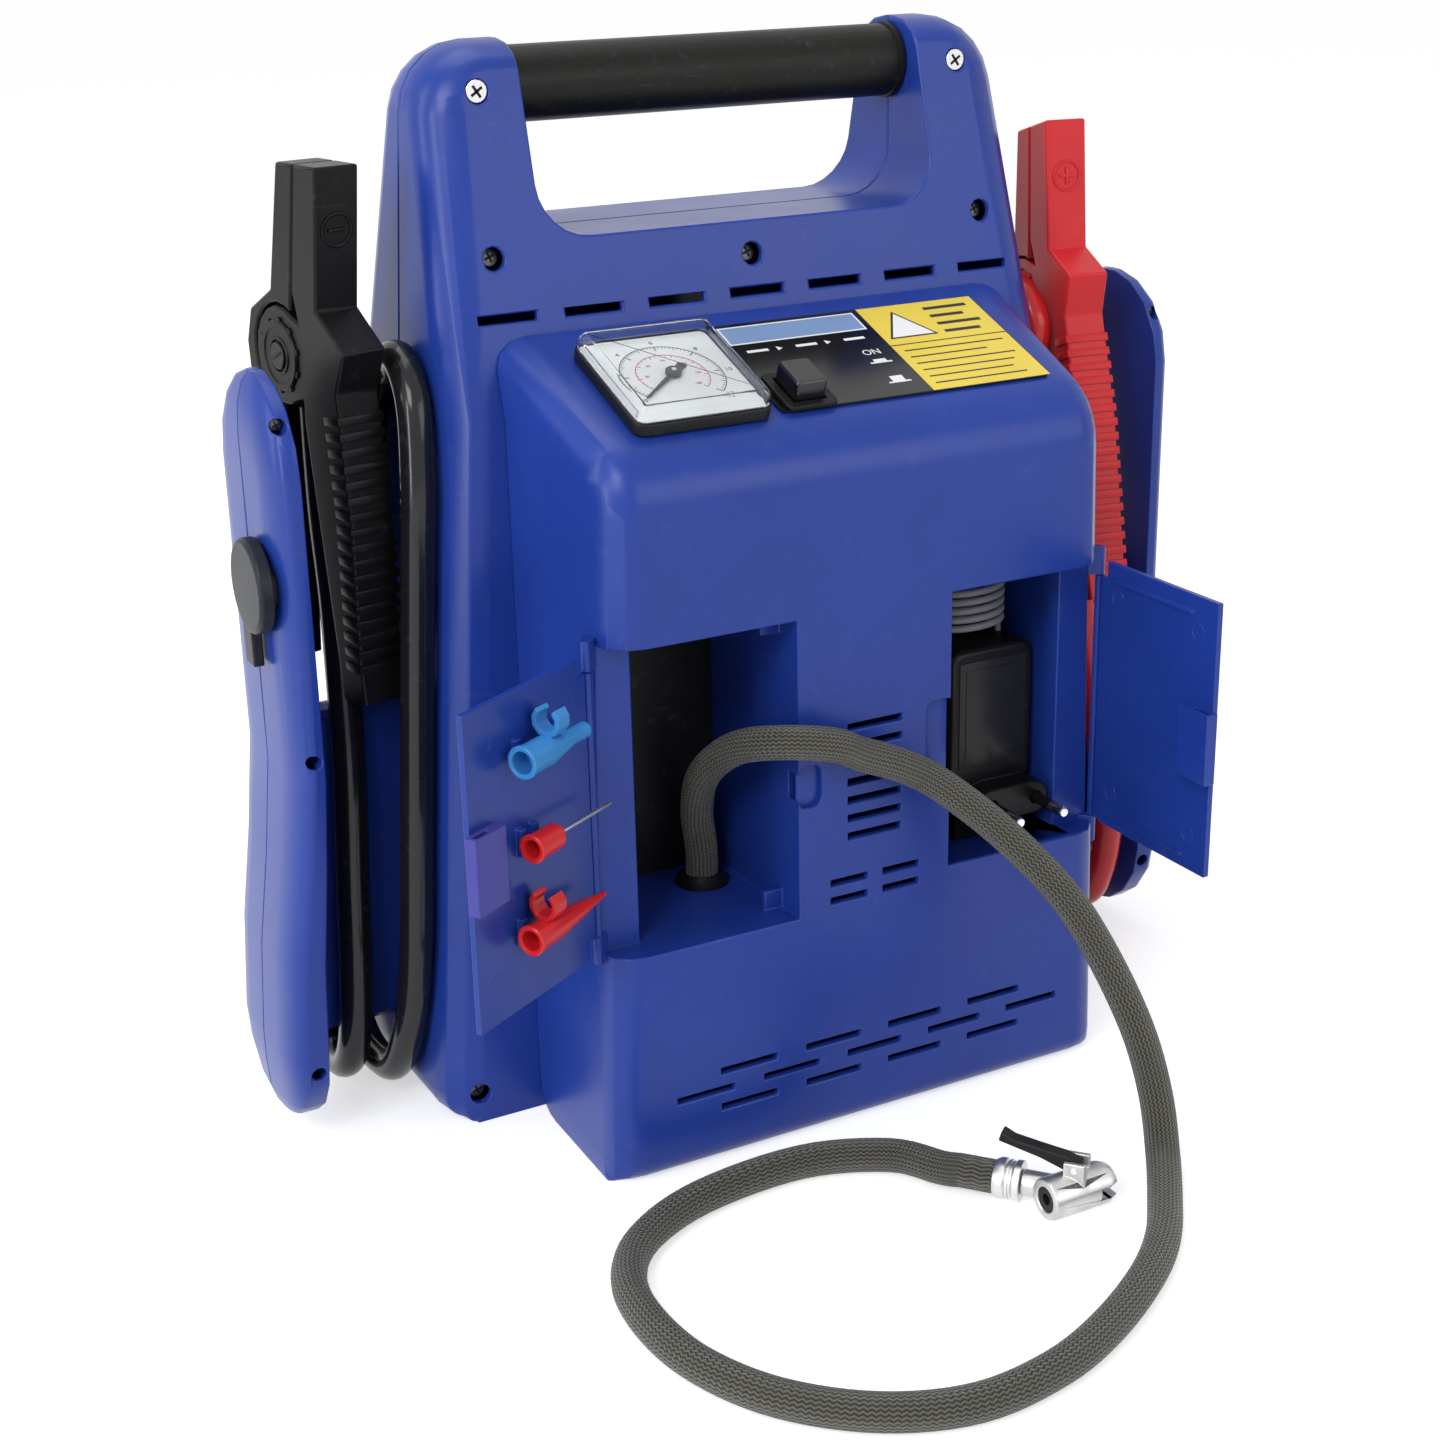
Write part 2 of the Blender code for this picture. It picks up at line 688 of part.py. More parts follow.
def vent_cuts():
    bm = bmesh.new()
    rows = ((1, 4), (0, 5), (-1, 4))
    for level, count in rows:
        z = VENT_MID_Z + level * VENT_ROW_PITCH
        for i in range(count):
            x = (i - (count - 1) / 2) * VENT_PITCH_X + 0.8
            box((x - VENT_LENGTH / 2, FRONT_Y - 5, z - VENT_HEIGHT / 2),
                (x + VENT_LENGTH / 2, FRONT_Y + BOX_WALL + 3, z + VENT_HEIGHT / 2), bm)
    for i in range(CENTRE_VENT_COUNT):
        z = CENTRE_VENT_TOP_Z - i * CENTRE_VENT_PITCH
        box((-CENTRE_VENT_LENGTH / 2 + 0.6, FRONT_Y - 5, z - VENT_HEIGHT / 2),
            (CENTRE_VENT_LENGTH / 2 + 0.6, FRONT_Y + BOX_WALL + 3, z + VENT_HEIGHT / 2), bm)
    for row in (0, 1):
        z = SHORT_VENT_Z + (row - 0.5) * CENTRE_VENT_PITCH
        for side, x in ((-1, -9.4), (1, 11.2)):
            box((x - SHORT_VENT_LENGTH / 2, FRONT_Y - 5, z - VENT_HEIGHT / 2),
                (x + SHORT_VENT_LENGTH / 2, FRONT_Y + BOX_WALL + 3, z + VENT_HEIGHT / 2), bm)
    return bm


def finger_notches():
    """Reliefs beside each opening for the door latches."""
    bm = bmesh.new()
    skin = FRONT_Y + BOX_WALL + 4
    prism(rounded_rectangle(9.0, 15.0, 3.5, (-LEFT_OPEN_X + 4.4, 131.0)), "y",
          FRONT_Y - 5, skin, bm)
    prism(rounded_rectangle(11.0, 27.0, 3.0, (RIGHT_OPEN_X - 4.0, 138.6)), "y",
          FRONT_Y - 5, skin, bm)
    return bm


def hinge_knuckles():
    """Fixed knuckles above and below each door, webbed to the box."""
    bm = bmesh.new()
    for side in (-1, 1):
        for low in (SILL_Z - 3, HEAD_Z - KNUCKLE_HEIGHT - 1):
            high = low + KNUCKLE_HEIGHT + 4
            web = HINGE_X - HINGE_RADIUS * 2.5
            edge = [(side * web, RECESS_BACK_Y + 4), (side * web, HINGE_Y + 1.2),
                    (side * (HINGE_X - 1.2), HINGE_Y - 1.2), (side * HINGE_X, HINGE_Y - HINGE_RADIUS),
                    (side * (HINGE_X + 1.2), HINGE_Y - 1.2), (side * (HINGE_X + HINGE_RADIUS), HINGE_Y),
                    (side * (HINGE_X + 1.4), HINGE_Y + 2.0), (side * (HINGE_X - 1.5), RECESS_BACK_Y + 4)]
            prism(edge, "z", low, high, bm)
    return bm


def door_stops():
    """Small ribs that a shut door rests against, top and bottom of each opening."""
    bm = bmesh.new()
    for side, open_x in ((-1, LEFT_OPEN_X), (1, RIGHT_OPEN_X)):
        edges = sorted((side * (open_x - 1), side * (open_x + STOP_WIDTH)))
        low_y = HINGE_Y + DOOR_THICKNESS / 2 + DOOR_CLEARANCE
        for low, high in ((SILL_Z - 1, SILL_Z + STOP_WIDTH), (HEAD_Z - STOP_WIDTH, HEAD_Z + 1)):
            box((edges[0], low_y, low), (edges[1], low_y + STOP_DEPTH, high), bm)
    return bm


def make_service_box():
    shell = add_part("service_box", box_solid(0.0, 0.0), "blue")
    cavity = add_tool("box_cavity", box_solid(BOX_WALL, 12.0))
    for side, open_x, word in ((-1, LEFT_OPEN_X, "left"), (1, RIGHT_OPEN_X, "right")):
        boolean(cavity, add_tool(word + "_bin_walls",
                                 opening_block(side, open_x, SILL_Z, BIN_WALL)))
    boolean(shell, cavity)
    boolean(shell, add_tool("left_opening", opening_block(-1, LEFT_OPEN_X, SILL_Z)))
    boolean(shell, add_tool("right_opening", opening_block(1, RIGHT_OPEN_X, RIGHT_SILL_Z)))
    boolean(shell, add_tool("right_bin_floor", sunken_floor()))
    boolean(shell, add_tool("knuckles", hinge_knuckles()), "UNION")
    boolean(shell, add_tool("door_stops", door_stops()), "UNION")
    boolean(shell, add_tool("vents", vent_cuts()))
    boolean(shell, add_tool("latch_reliefs", finger_notches()))
    deck = deck_frame()
    well = add_tool("switch_well", box((-SWITCH_WIDTH / 2 - GAP, -SWITCH_LENGTH / 2 - GAP, -30),
                                       (SWITCH_WIDTH / 2 + GAP, SWITCH_LENGTH / 2 + GAP, 12)))
    place(well, (SWITCH_X, SWITCH_V, 0), parent=deck)
    boolean(shell, well)
    return shell, deck


def deck_frame():
    return empty("deck_frame", (0, DECK_REF_Y, deck_z(DECK_REF_Y)), (DECK_ANGLE, 0, 0))


# ------------------------------------------------------------------ doors
def clip_post(u, z, radius, mesh_builder):
    """Small post on a door's inner face under a nozzle that has this radius there."""
    box((u - 1.4, DOOR_THICKNESS / 2 - 0.3, z - 4.5), (u + 1.4, NOZZLE_OFFSET - radius - GAP, z + 4.5),
        mesh_builder)


def make_door(name, side, low_z, opened, key="blue"):
    """Flat door; its object turns about the hinge axis, shut at rotation zero."""
    low, high = low_z + DOOR_CLEARANCE, HEAD_Z - 1.0
    half = DOOR_THICKNESS / 2
    edge = HINGE_RADIUS + 0.5
    door = add_part(name, box((edge, -half, low), (DOOR_LENGTH, half, high)), key)
    barrel_low = SILL_Z - 3 + KNUCKLE_HEIGHT + 4 + GAP
    barrel_high = HEAD_Z - KNUCKLE_HEIGHT - 1 - GAP
    barrel = lathe([(HINGE_RADIUS, barrel_low + 0.01), (HINGE_RADIUS, barrel_high - 0.01)], "z", 12)
    boolean(door, add_tool(name + "_barrel", barrel), "UNION")
    web = box((0.6, -half + 0.05, barrel_low + 0.05), (edge + 1, half - 0.05, barrel_high - 0.05))
    boolean(door, add_tool(name + "_web", web), "UNION")
    latch = box((DOOR_LENGTH - LATCH_LENGTH, half - 0.2, LATCH_Z - LATCH_HEIGHT / 2),
                (DOOR_LENGTH + 2.5, half + LATCH_RISE, LATCH_Z + LATCH_HEIGHT / 2))
    boolean(door, add_tool(name + "_latch", latch), "UNION")
    slot = box((DOOR_LENGTH - LATCH_LENGTH / 2, half + 1.2, LATCH_Z - LATCH_HEIGHT / 2 - 3),
               (DOOR_LENGTH + 0.6, half + LATCH_RISE - 1.2, LATCH_Z + LATCH_HEIGHT / 2 + 3))
    boolean(door, add_tool(name + "_latch_slot", slot))
    ribs = bmesh.new()
    if side > 0:
        for z in (low + 4.5, high - 6):
            box((9, half - 0.3, z - 0.7), (52, half + 1.0, z + 0.7), ribs)
    else:
        for u, z, radius in ((40.0, TUBE_ADAPTOR_Z, 4.9), (24.0, TUBE_ADAPTOR_Z, 3.4),
                             (40.5, NEEDLE_ADAPTOR_Z, 4.3), (34.0, NEEDLE_ADAPTOR_Z, 4.3),
                             (42.0, CONE_ADAPTOR_Z, 4.6), (26.0, CONE_ADAPTOR_Z, 3.8)):
            clip_post(u, z, radius, ribs)
    boolean(door, add_tool(name + "_ribs", ribs), "UNION")
    notches = box((-4, -4, low - 4), (KNUCKLE_CLEAR, 4, barrel_low))
    box((-4, -4, barrel_high), (KNUCKLE_CLEAR, 4, high + 4), notches)
    boolean(door, add_tool(name + "_notches", notches))
    mirrored = Matrix.Scale(-1, 4, (1, 0, 0)) if side > 0 else Matrix.Identity(4)
    tools = [step.object for step in door.modifiers]
    for item in [door] + tools:
        item.data.transform(mirrored)
        if side > 0:
            item.data.flip_normals()
        place(item, (side * HINGE_X, HINGE_Y, 0), (0, 0, side * math.radians(opened)))
    return door


def on_left_door(name, mesh_builder, key, door):
    item = add_part(name, mesh_builder, key)
    place(item, parent=door)
    return item


def clip_ring(u, z):
    """Open spring clip standing on a nozzle: a C seen along the door."""
    outer, inner = 5.2, 3.6
    points = []
    for radius, order in ((outer, range(9)), (inner, range(8, -1, -1))):
        for k in order:
            angle = math.radians(-230 + 280 * k / 8)
            points.append((NOZZLE_OFFSET + radius * math.cos(angle),
                           z + NOZZLE_RADIUS + outer - 0.6 + radius * math.sin(angle)))
    return prism(points, "x", u - 3.0, u + 3.0)


def nozzle(u_mouth, u_tip, z, mouth, tip, tip_length=0.0, steps=14):
    """Turned adaptor lying along the door, hollow at its mouth."""
    sizes = [(mouth - 1.2, u_mouth - 7), (mouth - 1.2, u_mouth), (mouth, u_mouth)]
    body = [(mouth, u_mouth - 12), (tip, u_tip + tip_length), (tip, u_tip)]
    return lathe(sizes + body, "x", steps, (NOZZLE_OFFSET, z))


def make_nozzles(door):
    tube = on_left_door("tube_adaptor", nozzle(45.7, 13.1, TUBE_ADAPTOR_Z, NOZZLE_RADIUS + 0.6, 2.6, 8.0),
                        "light_blue", door)
    clip = add_tool("tube_adaptor_clip", clip_ring(30.5, TUBE_ADAPTOR_Z))
    place(clip, parent=door)
    boolean(tube, clip, "UNION")
    on_left_door("needle_adaptor", nozzle(43.1, 28.6, NEEDLE_ADAPTOR_Z, NOZZLE_RADIUS, 2.4, 1.0),
                 "red", door)
    needle = lathe([(0.75, 28.3), (0.75, 1.5), (0.4, 0.7)], "x", 10, (NOZZLE_OFFSET, NEEDLE_ADAPTOR_Z))
    on_left_door("inflation_needle", needle, "steel", door)
    cone = on_left_door("cone_adaptor", nozzle(46.1, 6.4, CONE_ADAPTOR_Z, NOZZLE_RADIUS + 0.3, 0.9, 1.0),
                        "red", door)
    clip = add_tool("cone_adaptor_clip", clip_ring(36.5, CONE_ADAPTOR_Z))
    place(clip, parent=door)
    boolean(cone, clip, "UNION")


# ------------------------------------------------------------------ deck fittings
def deck_part(name, mesh_builder, key, deck, spot):
    item = add_part(name, mesh_builder, key)
    place(item, spot, parent=deck)
    return item


def make_gauge(deck):
    spot = (GAUGE_X, GAUGE_V, 0)
    outer = rounded_rectangle(GAUGE_WIDTH, GAUGE_LENGTH, GAUGE_RADIUS)
    inner = rounded_rectangle(GAUGE_WIDTH - 2 * GAUGE_WALL, GAUGE_LENGTH - 2 * GAUGE_WALL,
                              GAUGE_RADIUS - GAUGE_WALL)
    base = deck_part("gauge_base", prism(outer, "z", GAP, GAUGE_BASE_HEIGHT), "black", deck, spot)
    floor = GAUGE_BASE_HEIGHT - DIAL_THICKNESS - 0.6
    well = add_tool("gauge_well", prism(inner, "z", floor, GAUGE_BASE_HEIGHT + 5))
    place(well, spot, parent=deck)
    boolean(base, well)
    dial_outline = rounded_rectangle(GAUGE_WIDTH - 2 * GAUGE_WALL - 2 * GAP,
                                     GAUGE_LENGTH - 2 * GAUGE_WALL - 2 * GAP,
                                     GAUGE_RADIUS - GAUGE_WALL - GAP)
    dial_low = floor + GAP
    dial_top = dial_low + DIAL_THICKNESS
    dial = deck_part("gauge_dial", prism(dial_outline, "z", dial_low, dial_top), "white", deck, spot)
    post = add_tool("dial_post", lathe([(NEEDLE_PIN_RADIUS, dial_low + 0.2),
                                        (NEEDLE_PIN_RADIUS, dial_top + 2.4)], "z", 10))
    place(post, spot, parent=deck)
    boolean(dial, post, "UNION")
    make_needle(deck, spot, dial_top + 0.5)
    make_cover(deck, spot, outer)


def make_needle(deck, spot, low):
    """Pointer that rests at the start of the scale, lower left on the dial."""
    rest = math.atan2(-13.2, -16.6)
    hub = circle(NEEDLE_HUB_RADIUS, 14)
    needle = deck_part("gauge_needle", prism(hub, "z", low, low + NEEDLE_THICKNESS), "grey", deck, spot)
    blade = [(-NEEDLE_TAIL, -1.6), (0, -0.8), (NEEDLE_LENGTH, -0.25), (NEEDLE_LENGTH, 0.25),
             (0, 0.8), (-NEEDLE_TAIL, 1.6)]
    pointer = add_tool("needle_blade", prism(blade, "z", low + 0.1, low + NEEDLE_THICKNESS - 0.1))
    hole = add_tool("needle_bore", prism(circle(NEEDLE_PIN_RADIUS + GAP, 10), "z", low - 2, low + 4))
    boolean(needle, pointer, "UNION")
    boolean(needle, hole)
    for item in (needle, pointer, hole):
        place(item, spot, (0, 0, rest), deck)


def make_cover(deck, spot, outline):
    """Clear lid with bevelled top edges, open below."""
    low = GAUGE_BASE_HEIGHT + GAP
    normals = outline_normals(outline)

    def ring(inset, w):
        return [(a - inset * na, b - inset * nb, w) for (a, b), (na, nb) in zip(outline, normals)]

    cover = deck_part("gauge_cover", join_rings([ring(0.5, low), ring(0.7, GAUGE_HEIGHT - 2.2),
                                                 ring(2.6, GAUGE_HEIGHT)]), "clear", deck, spot)
    inside = add_tool("cover_inside", join_rings([ring(GAUGE_WALL + 0.3, low - 3),
                                                  ring(GAUGE_WALL + 0.3, GAUGE_HEIGHT - 2.6),
                                                  ring(GAUGE_WALL + 1.9, GAUGE_HEIGHT - 1.1)]))
    place(inside, spot, parent=deck)
    boolean(cover, inside)


def make_switch(deck):
    spot = (SWITCH_X, SWITCH_V, 0)
    flange = rounded_rectangle(BEZEL_WIDTH, BEZEL_LENGTH, 2.0)
    bezel = deck_part("switch_bezel", prism(flange, "z", LABEL_THICKNESS + 2 * GAP, BEZEL_HEIGHT),
                      "black", deck, spot)
    sleeve = add_tool("switch_sleeve", box((-SWITCH_WIDTH / 2, -SWITCH_LENGTH / 2, -SWITCH_DEPTH),
                                           (SWITCH_WIDTH / 2, SWITCH_LENGTH / 2, BEZEL_HEIGHT - 0.5)))
    bore = add_tool("switch_bore",
                    box((-CAP_WIDTH / 2 - CAP_CLEARANCE, -CAP_LENGTH / 2 - CAP_CLEARANCE,
                         -SWITCH_DEPTH + 1.5),
                        (CAP_WIDTH / 2 + CAP_CLEARANCE, CAP_LENGTH / 2 + CAP_CLEARANCE,
                         BEZEL_HEIGHT + 3)))
    for tool in (sleeve, bore):
        place(tool, spot, parent=deck)
    boolean(bezel, sleeve, "UNION")
    boolean(bezel, bore)
    top = rounded_rectangle(CAP_WIDTH, CAP_LENGTH, 1.2)
    smaller = rounded_rectangle(CAP_WIDTH - 1.2, CAP_LENGTH - 1.2, 0.9)
    rings = [[(a, b, -CAP_STEM) for a, b in top], [(a, b, CAP_HEIGHT - 1.0) for a, b in top],
             [(a, b, CAP_HEIGHT) for a, b in smaller]]
    deck_part("push_button", join_rings(rings), "gloss_black", deck, spot)


def make_label(deck):
    corners = [(LABEL_LEFT, LABEL_FRONT_V, LABEL_RADIUS), (LABEL_RIGHT, LABEL_FRONT_V, LABEL_RADIUS),
               (LABEL_RIGHT, LABEL_BACK_V, LABEL_RADIUS), (LABEL_LEFT, LABEL_BACK_V, LABEL_RADIUS)]
    label = deck_part("label_plate", prism(fillet(corners, 4), "z", GAP, GAP + LABEL_THICKNESS),
                      "yellow", deck, (0, 0, 0))
    hole = add_tool("label_window", box((-SWITCH_WIDTH / 2 - GAP, -SWITCH_LENGTH / 2 - GAP, -5),
                                        (SWITCH_WIDTH / 2 + GAP, SWITCH_LENGTH / 2 + GAP, 5)))
    place(hole, (SWITCH_X, SWITCH_V, 0), parent=deck)
    boolean(label, hole)


# ------------------------------------------------------------------ wings and spools
def wing_lean(z, splay):
    """How far the wing's foot stands out from its upper part at height z."""
    share = min(1.0, max(0.0, (WING_SPLAY_TOP_Z - z) / (WING_SPLAY_TOP_Z - 40.0)))
    return splay * share * share * (3 - 2 * share)


def wing_inner_x(z, splay):
    return WING_INNER_X + wing_lean(z, splay)


def wing_outer_x(z, splay):
    flare = WING_FLARE * wing_lean(z, 1.0)
    return wing_inner_x(z, splay) + WING_THICKNESS + flare


def wing_levels(radius):
    """Heights of the wing's sections, each with its half depth and end overhang."""
    low, high = WING_BOTTOM_Z + WING_DEPTH / 2, WING_TOP_Z - WING_DEPTH / 2
    angles = [math.radians(a) for a in (8, 27, 47, 69)]
    levels = [(low - radius * math.cos(a), radius * math.sin(a), radius * math.cos(a))
              for a in angles]
    levels += [(low + (high - low) * k / 6, radius, 0.0) for k in range(7)]
    levels += [(high + radius * math.cos(a), radius * math.sin(a), radius * math.cos(a))
               for a in angles[::-1]]
    return levels


def wing_half(side, splay, inset, toward, past):
    """Half of a wing as level sections; toward is -1 for front and 1 for rear."""
    radius = WING_DEPTH / 2 - inset
    edge_x, edge_y = WING_EDGE_X - inset, WING_EDGE_Y - inset
    middle = WING_MID_Y - toward * past
    rings = []
    for z, half, over in wing_levels(radius):
        inner, outer = wing_inner_x(z, splay) + inset, wing_outer_x(z, splay) - inset
        ring = [(inner, middle), (inner, WING_MID_Y + toward * half)]
        for share in (1.0, 0.95, 0.85, 0.7, 0.48):
            near = min(1.0, (radius - math.hypot(share * half, over)) / edge_y)
            drop = edge_x * (1 - math.sqrt(max(0.0, 1 - (1 - near) ** 2)))
            ring.append((outer - drop, WING_MID_Y + toward * half * share))
        near = min(1.0, (radius - over) / edge_y)
        drop = edge_x * (1 - math.sqrt(max(0.0, 1 - (1 - near) ** 2)))
        ring.append((outer - drop, middle))
        rings.append([(side * x, y, z) for x, y in ring])
    return join_rings(rings)


def wing_recesses(side, splay):
    bm = bmesh.new()
    for z in (WING_TOP_Z - 14.0, WING_BOTTOM_Z + 138.0, WING_BOTTOM_Z + 25.5):
        x = side * (wing_inner_x(z, splay) + 3.6)
        lathe([(2.6, WING_FRONT_Y - 6), (2.6, WING_FRONT_Y + 12)], "y", 10, (x, z), bm)
    return bm


def make_wing(side, word, splay):
    halves = []
    for place_word, toward in (("front", -1), ("rear", 1)):
        name = "%s_wing_%s" % (word, place_word)
        half = add_part(name, wing_half(side, splay, 0.0, toward, -GAP / 2), "blue")
        hollow = add_tool(name + "_cavity", wing_half(side, splay, WING_WALL, toward, 2.0))
        boolean(half, hollow)
        halves.append(half)
    boolean(halves[0], add_tool(word + "_wing_recesses", wing_recesses(side, splay)))
    return halves


def make_spool(side, word, splay):
    """Core between body and wing that the jump lead winds round."""
    y0, y1 = SPOOL_FRONT_Y, SPOOL_FRONT_Y + SPOOL_DEPTH
    outline = fillet([(y0, SPOOL_BOTTOM_Z, 7), (y1, SPOOL_BOTTOM_Z, 7),
                      (y1, SPOOL_TOP_Z, 7), (y0, SPOOL_TOP_Z, 7)], 3)
    near = [(side * (body_half_width(z) + GAP + 0.05), y, z) for y, z in outline]
    far = [(side * (wing_inner_x(z, splay) - GAP - 0.05), y, z) for y, z in outline]
    return add_part(word + "_spool", join_rings([near, far]), "blue")


# ------------------------------------------------------------------ socket
def make_socket(wing_halves):
    """Charging socket in the left wing's outer face, with a hinged rubber cap."""
    face = wing_outer_x(SOCKET_Z, WING_SPLAY_LEFT)
    spot = (SOCKET_Y, SOCKET_Z)
    hole = add_tool("socket_hole", lathe([(SOCKET_RADIUS + GAP, -face - 10),
                                          (SOCKET_RADIUS + GAP, -face + SOCKET_DEPTH)], "x", 20, spot))
    boolean(wing_halves[0], hole)
    profile = [(SOCKET_BORE, -face + SOCKET_DEPTH - 2.5), (SOCKET_BORE, -face - 0.6),
               (SOCKET_RADIUS + 2, -face - 0.6), (SOCKET_RADIUS + 2, -face - GAP / 2 - 0.15),
               (SOCKET_RADIUS, -face - 0.29), (SOCKET_RADIUS, -face + SOCKET_DEPTH - GAP)]
    add_part("socket_body", lathe(profile, "x", 20, spot), "black")
    cap_spot = (0, SOCKET_Y, SOCKET_Z + SOCKET_CAP_RADIUS + 0.5)
    outer = -face - 0.9
    disc = lathe([(SOCKET_CAP_RADIUS, outer), (SOCKET_CAP_RADIUS, outer - SOCKET_CAP_HEIGHT + 1),
                  (SOCKET_CAP_RADIUS - 1, outer - SOCKET_CAP_HEIGHT)], "x", 24,
                 (0, -SOCKET_CAP_RADIUS - 0.5))
    for vert in disc.verts:
        vert.co.x += face
    cap = add_part("socket_cap", disc, "black")
    tab = add_tool("socket_tab",
                   box((-SOCKET_CAP_HEIGHT + 0.3, -4.0, -2 * SOCKET_CAP_RADIUS - SOCKET_TAB_LENGTH),
                       (-1.2, 4.0, -2 * SOCKET_CAP_RADIUS + 3)))
    for item in (cap, tab):
        place(item, (-face, *cap_spot[1:]), (0, 0, 0))
    tab.location.y += 6.0 * MM
    boolean(cap, tab, "UNION")
    return cap


# ------------------------------------------------------------------ clamps
FRONT_ARM = [(0, 0), (13.8, 0), (21.8, -40.6), (19, -51.6), (15, -62.9), (19, -75.6),
             (19.5, -85.6), (10, -159.6), (7.9, -176.9), (-6.3, -175.6), (-4.6, -161.6),
             (-6, -109.6), (-2.5, -70.6), (-9, -56.9), (6.8, -45.6)]
REAR_ARM = [(14.4, 0), (25.4, 0), (36.4, -41.6), (51.5, -49.6), (55.7, -61), (55, -72.8),
            (53.5, -109.6), (57.5, -172.6), (46, -174.6), (40.5, -109.6), (34, -81.6),
            (26.5, -74.0), (21.0, -66.5), (20.4, -60.5), (24.6, -50.8), (22.4, -40.6)]

HANDLE_LINE = [(30.5, -78.5), (34, -81.6), (40.5, -109.6), (46.6, -182)]


def clamp_outline(points):
    """Arm outline in (depth, height), counter-clockwise as seen from the left side."""
    return [(d, z) for d, z in points][::-1]


def lateral_disc(radius, low, high, steps=20, mesh_builder=None):
    centre = (CLAMP_PIVOT_DEPTH, CLAMP_PIVOT_Z - CLAMP_TOP_Z)
    return lathe([(radius, low), (radius, high)], "x", steps, centre, mesh_builder)


def clamp_frame(side, word):
    """Empty at the jaw's outer front corner; its -X side is the clamp's outer side."""
    tilt = RED_CLAMP_TILT if side > 0 else 0.0
    top = RED_CLAMP_TOP_Z if side > 0 else CLAMP_TOP_Z
    corner = Vector((side * CLAMP_X, CLAMP_Y, top))
    spin = Matrix.Rotation(-side * CLAMP_YAW, 4, "Z") @ Matrix.Rotation(-tilt, 4, "X")
    frame = empty(word + "_clamp_frame", corner, spin.to_euler())
    return frame


def make_clamp(side, word, key):
    """Two sprung arms on a rivet, each with a copper jaw plate."""
    frame = clamp_frame(side, word)
    width = CLAMP_WIDTH
    low, high = (0.0, width) if side < 0 else (-width, 0.0)
    mid = (low + high) / 2
    pivot = (mid, CLAMP_PIVOT_DEPTH, CLAMP_PIVOT_Z - CLAMP_TOP_Z)

    def piece(name, mesh_builder, colour):
        for vert in mesh_builder.verts:
            vert.co -= Vector(pivot)
        item = add_part(name, mesh_builder, colour)
        place(item, pivot, parent=frame)
        return item

    def tool(name, mesh_builder):
        item = piece(name, mesh_builder, "grey")
        item.hide_render = True
        item.display_type = "WIRE"
        return item

    front = piece(word + "_front_arm", prism(clamp_outline(FRONT_ARM), "x", low, high), key)
    rear = piece(word + "_rear_arm", prism(clamp_outline(REAR_ARM), "x", low, high), key)
    for tag, a, b in (("low", low, low + EAR_THICKNESS), ("high", high - EAR_THICKNESS, high)):
        depth, height = CLAMP_PIVOT_DEPTH, CLAMP_PIVOT_Z - CLAMP_TOP_Z
        lug = [(8, height - 10), (8, height + 8)]
        for k in range(13):
            angle = math.radians(125 - 250 * k / 12)
            lug.append((depth + EAR_RADIUS * math.cos(angle), height + EAR_RADIUS * math.sin(angle)))
        boolean(front, tool("%s_ear_%s" % (word, tag), prism(lug[::-1], "x", a, b)), "UNION")
        outer = (a - 3, b + GAP) if tag == "low" else (a - GAP, b + 3)
        boolean(rear, tool("%s_ear_room_%s" % (word, tag),
                           lateral_disc(EAR_RADIUS + 0.9, *outer)))
    shaft = tool(word + "_pivot_hole", lateral_disc(PIVOT_RADIUS + GAP, low - 4, high + 4, 16))
    boolean(front, shaft)
    boolean(rear, shaft)
    spring_room = tool(word + "_spring_room",
                       lateral_disc(SPRING_RADIUS + SPRING_WIRE + 0.6, mid - SPRING_ROOM,
                                    mid + SPRING_ROOM, 16))
    channel = box((mid - SPRING_ROOM, 8, pivot[2] - 4), (mid + SPRING_ROOM, pivot[1], pivot[2] + 4))
    boolean(rear, spring_room)
    boolean(rear, tool(word + "_spring_channel", channel))
    room = [(depth + off, z) for off, line in ((-12, HANDLE_LINE), (CHANNEL_DEPTH, HANDLE_LINE[::-1]))
            for depth, z in line]
    near, far = (mid - CHANNEL_HALF, high + 3) if side < 0 else (low - 3, mid + CHANNEL_HALF)
    boolean(rear, tool(word + "_lead_channel", prism(clamp_outline(room), "x", near, far)))
    rivet = [(RIVET_RADIUS, low - GAP - RIVET_HEIGHT), (RIVET_RADIUS, low - GAP),
             (PIVOT_RADIUS, low - GAP + 0.01), (PIVOT_RADIUS, high + GAP - 0.01),
             (RIVET_RADIUS, high + GAP), (RIVET_RADIUS, high + GAP + RIVET_HEIGHT)]
    piece(word + "_pivot", lathe(rivet, "x", 16, (pivot[1], pivot[2])), "black")
    make_spring(word, frame, pivot)
    make_jaw_plates(word, tool, piece, front, rear, mid)
    return frame, front


def make_spring(word, frame, pivot):
    """Coil spring round the rivet, between the two arms' cheeks."""
    route = []
    for k in range(SPRING_TURNS * 10 + 1):
        angle = math.radians(-60) + 2 * math.pi * k / 10
        route.append(Vector(((k / 10 - SPRING_TURNS / 2) * SPRING_PITCH,
                             SPRING_RADIUS * math.cos(angle), SPRING_RADIUS * math.sin(angle))))
    spring = tube(word + "_spring", route, SPRING_WIRE, 1, "steel")
    place(spring, pivot, parent=frame)
    print(word + "_spring least gap to itself", round(least_gap(route, SPRING_WIRE, 16), 2), "mm")


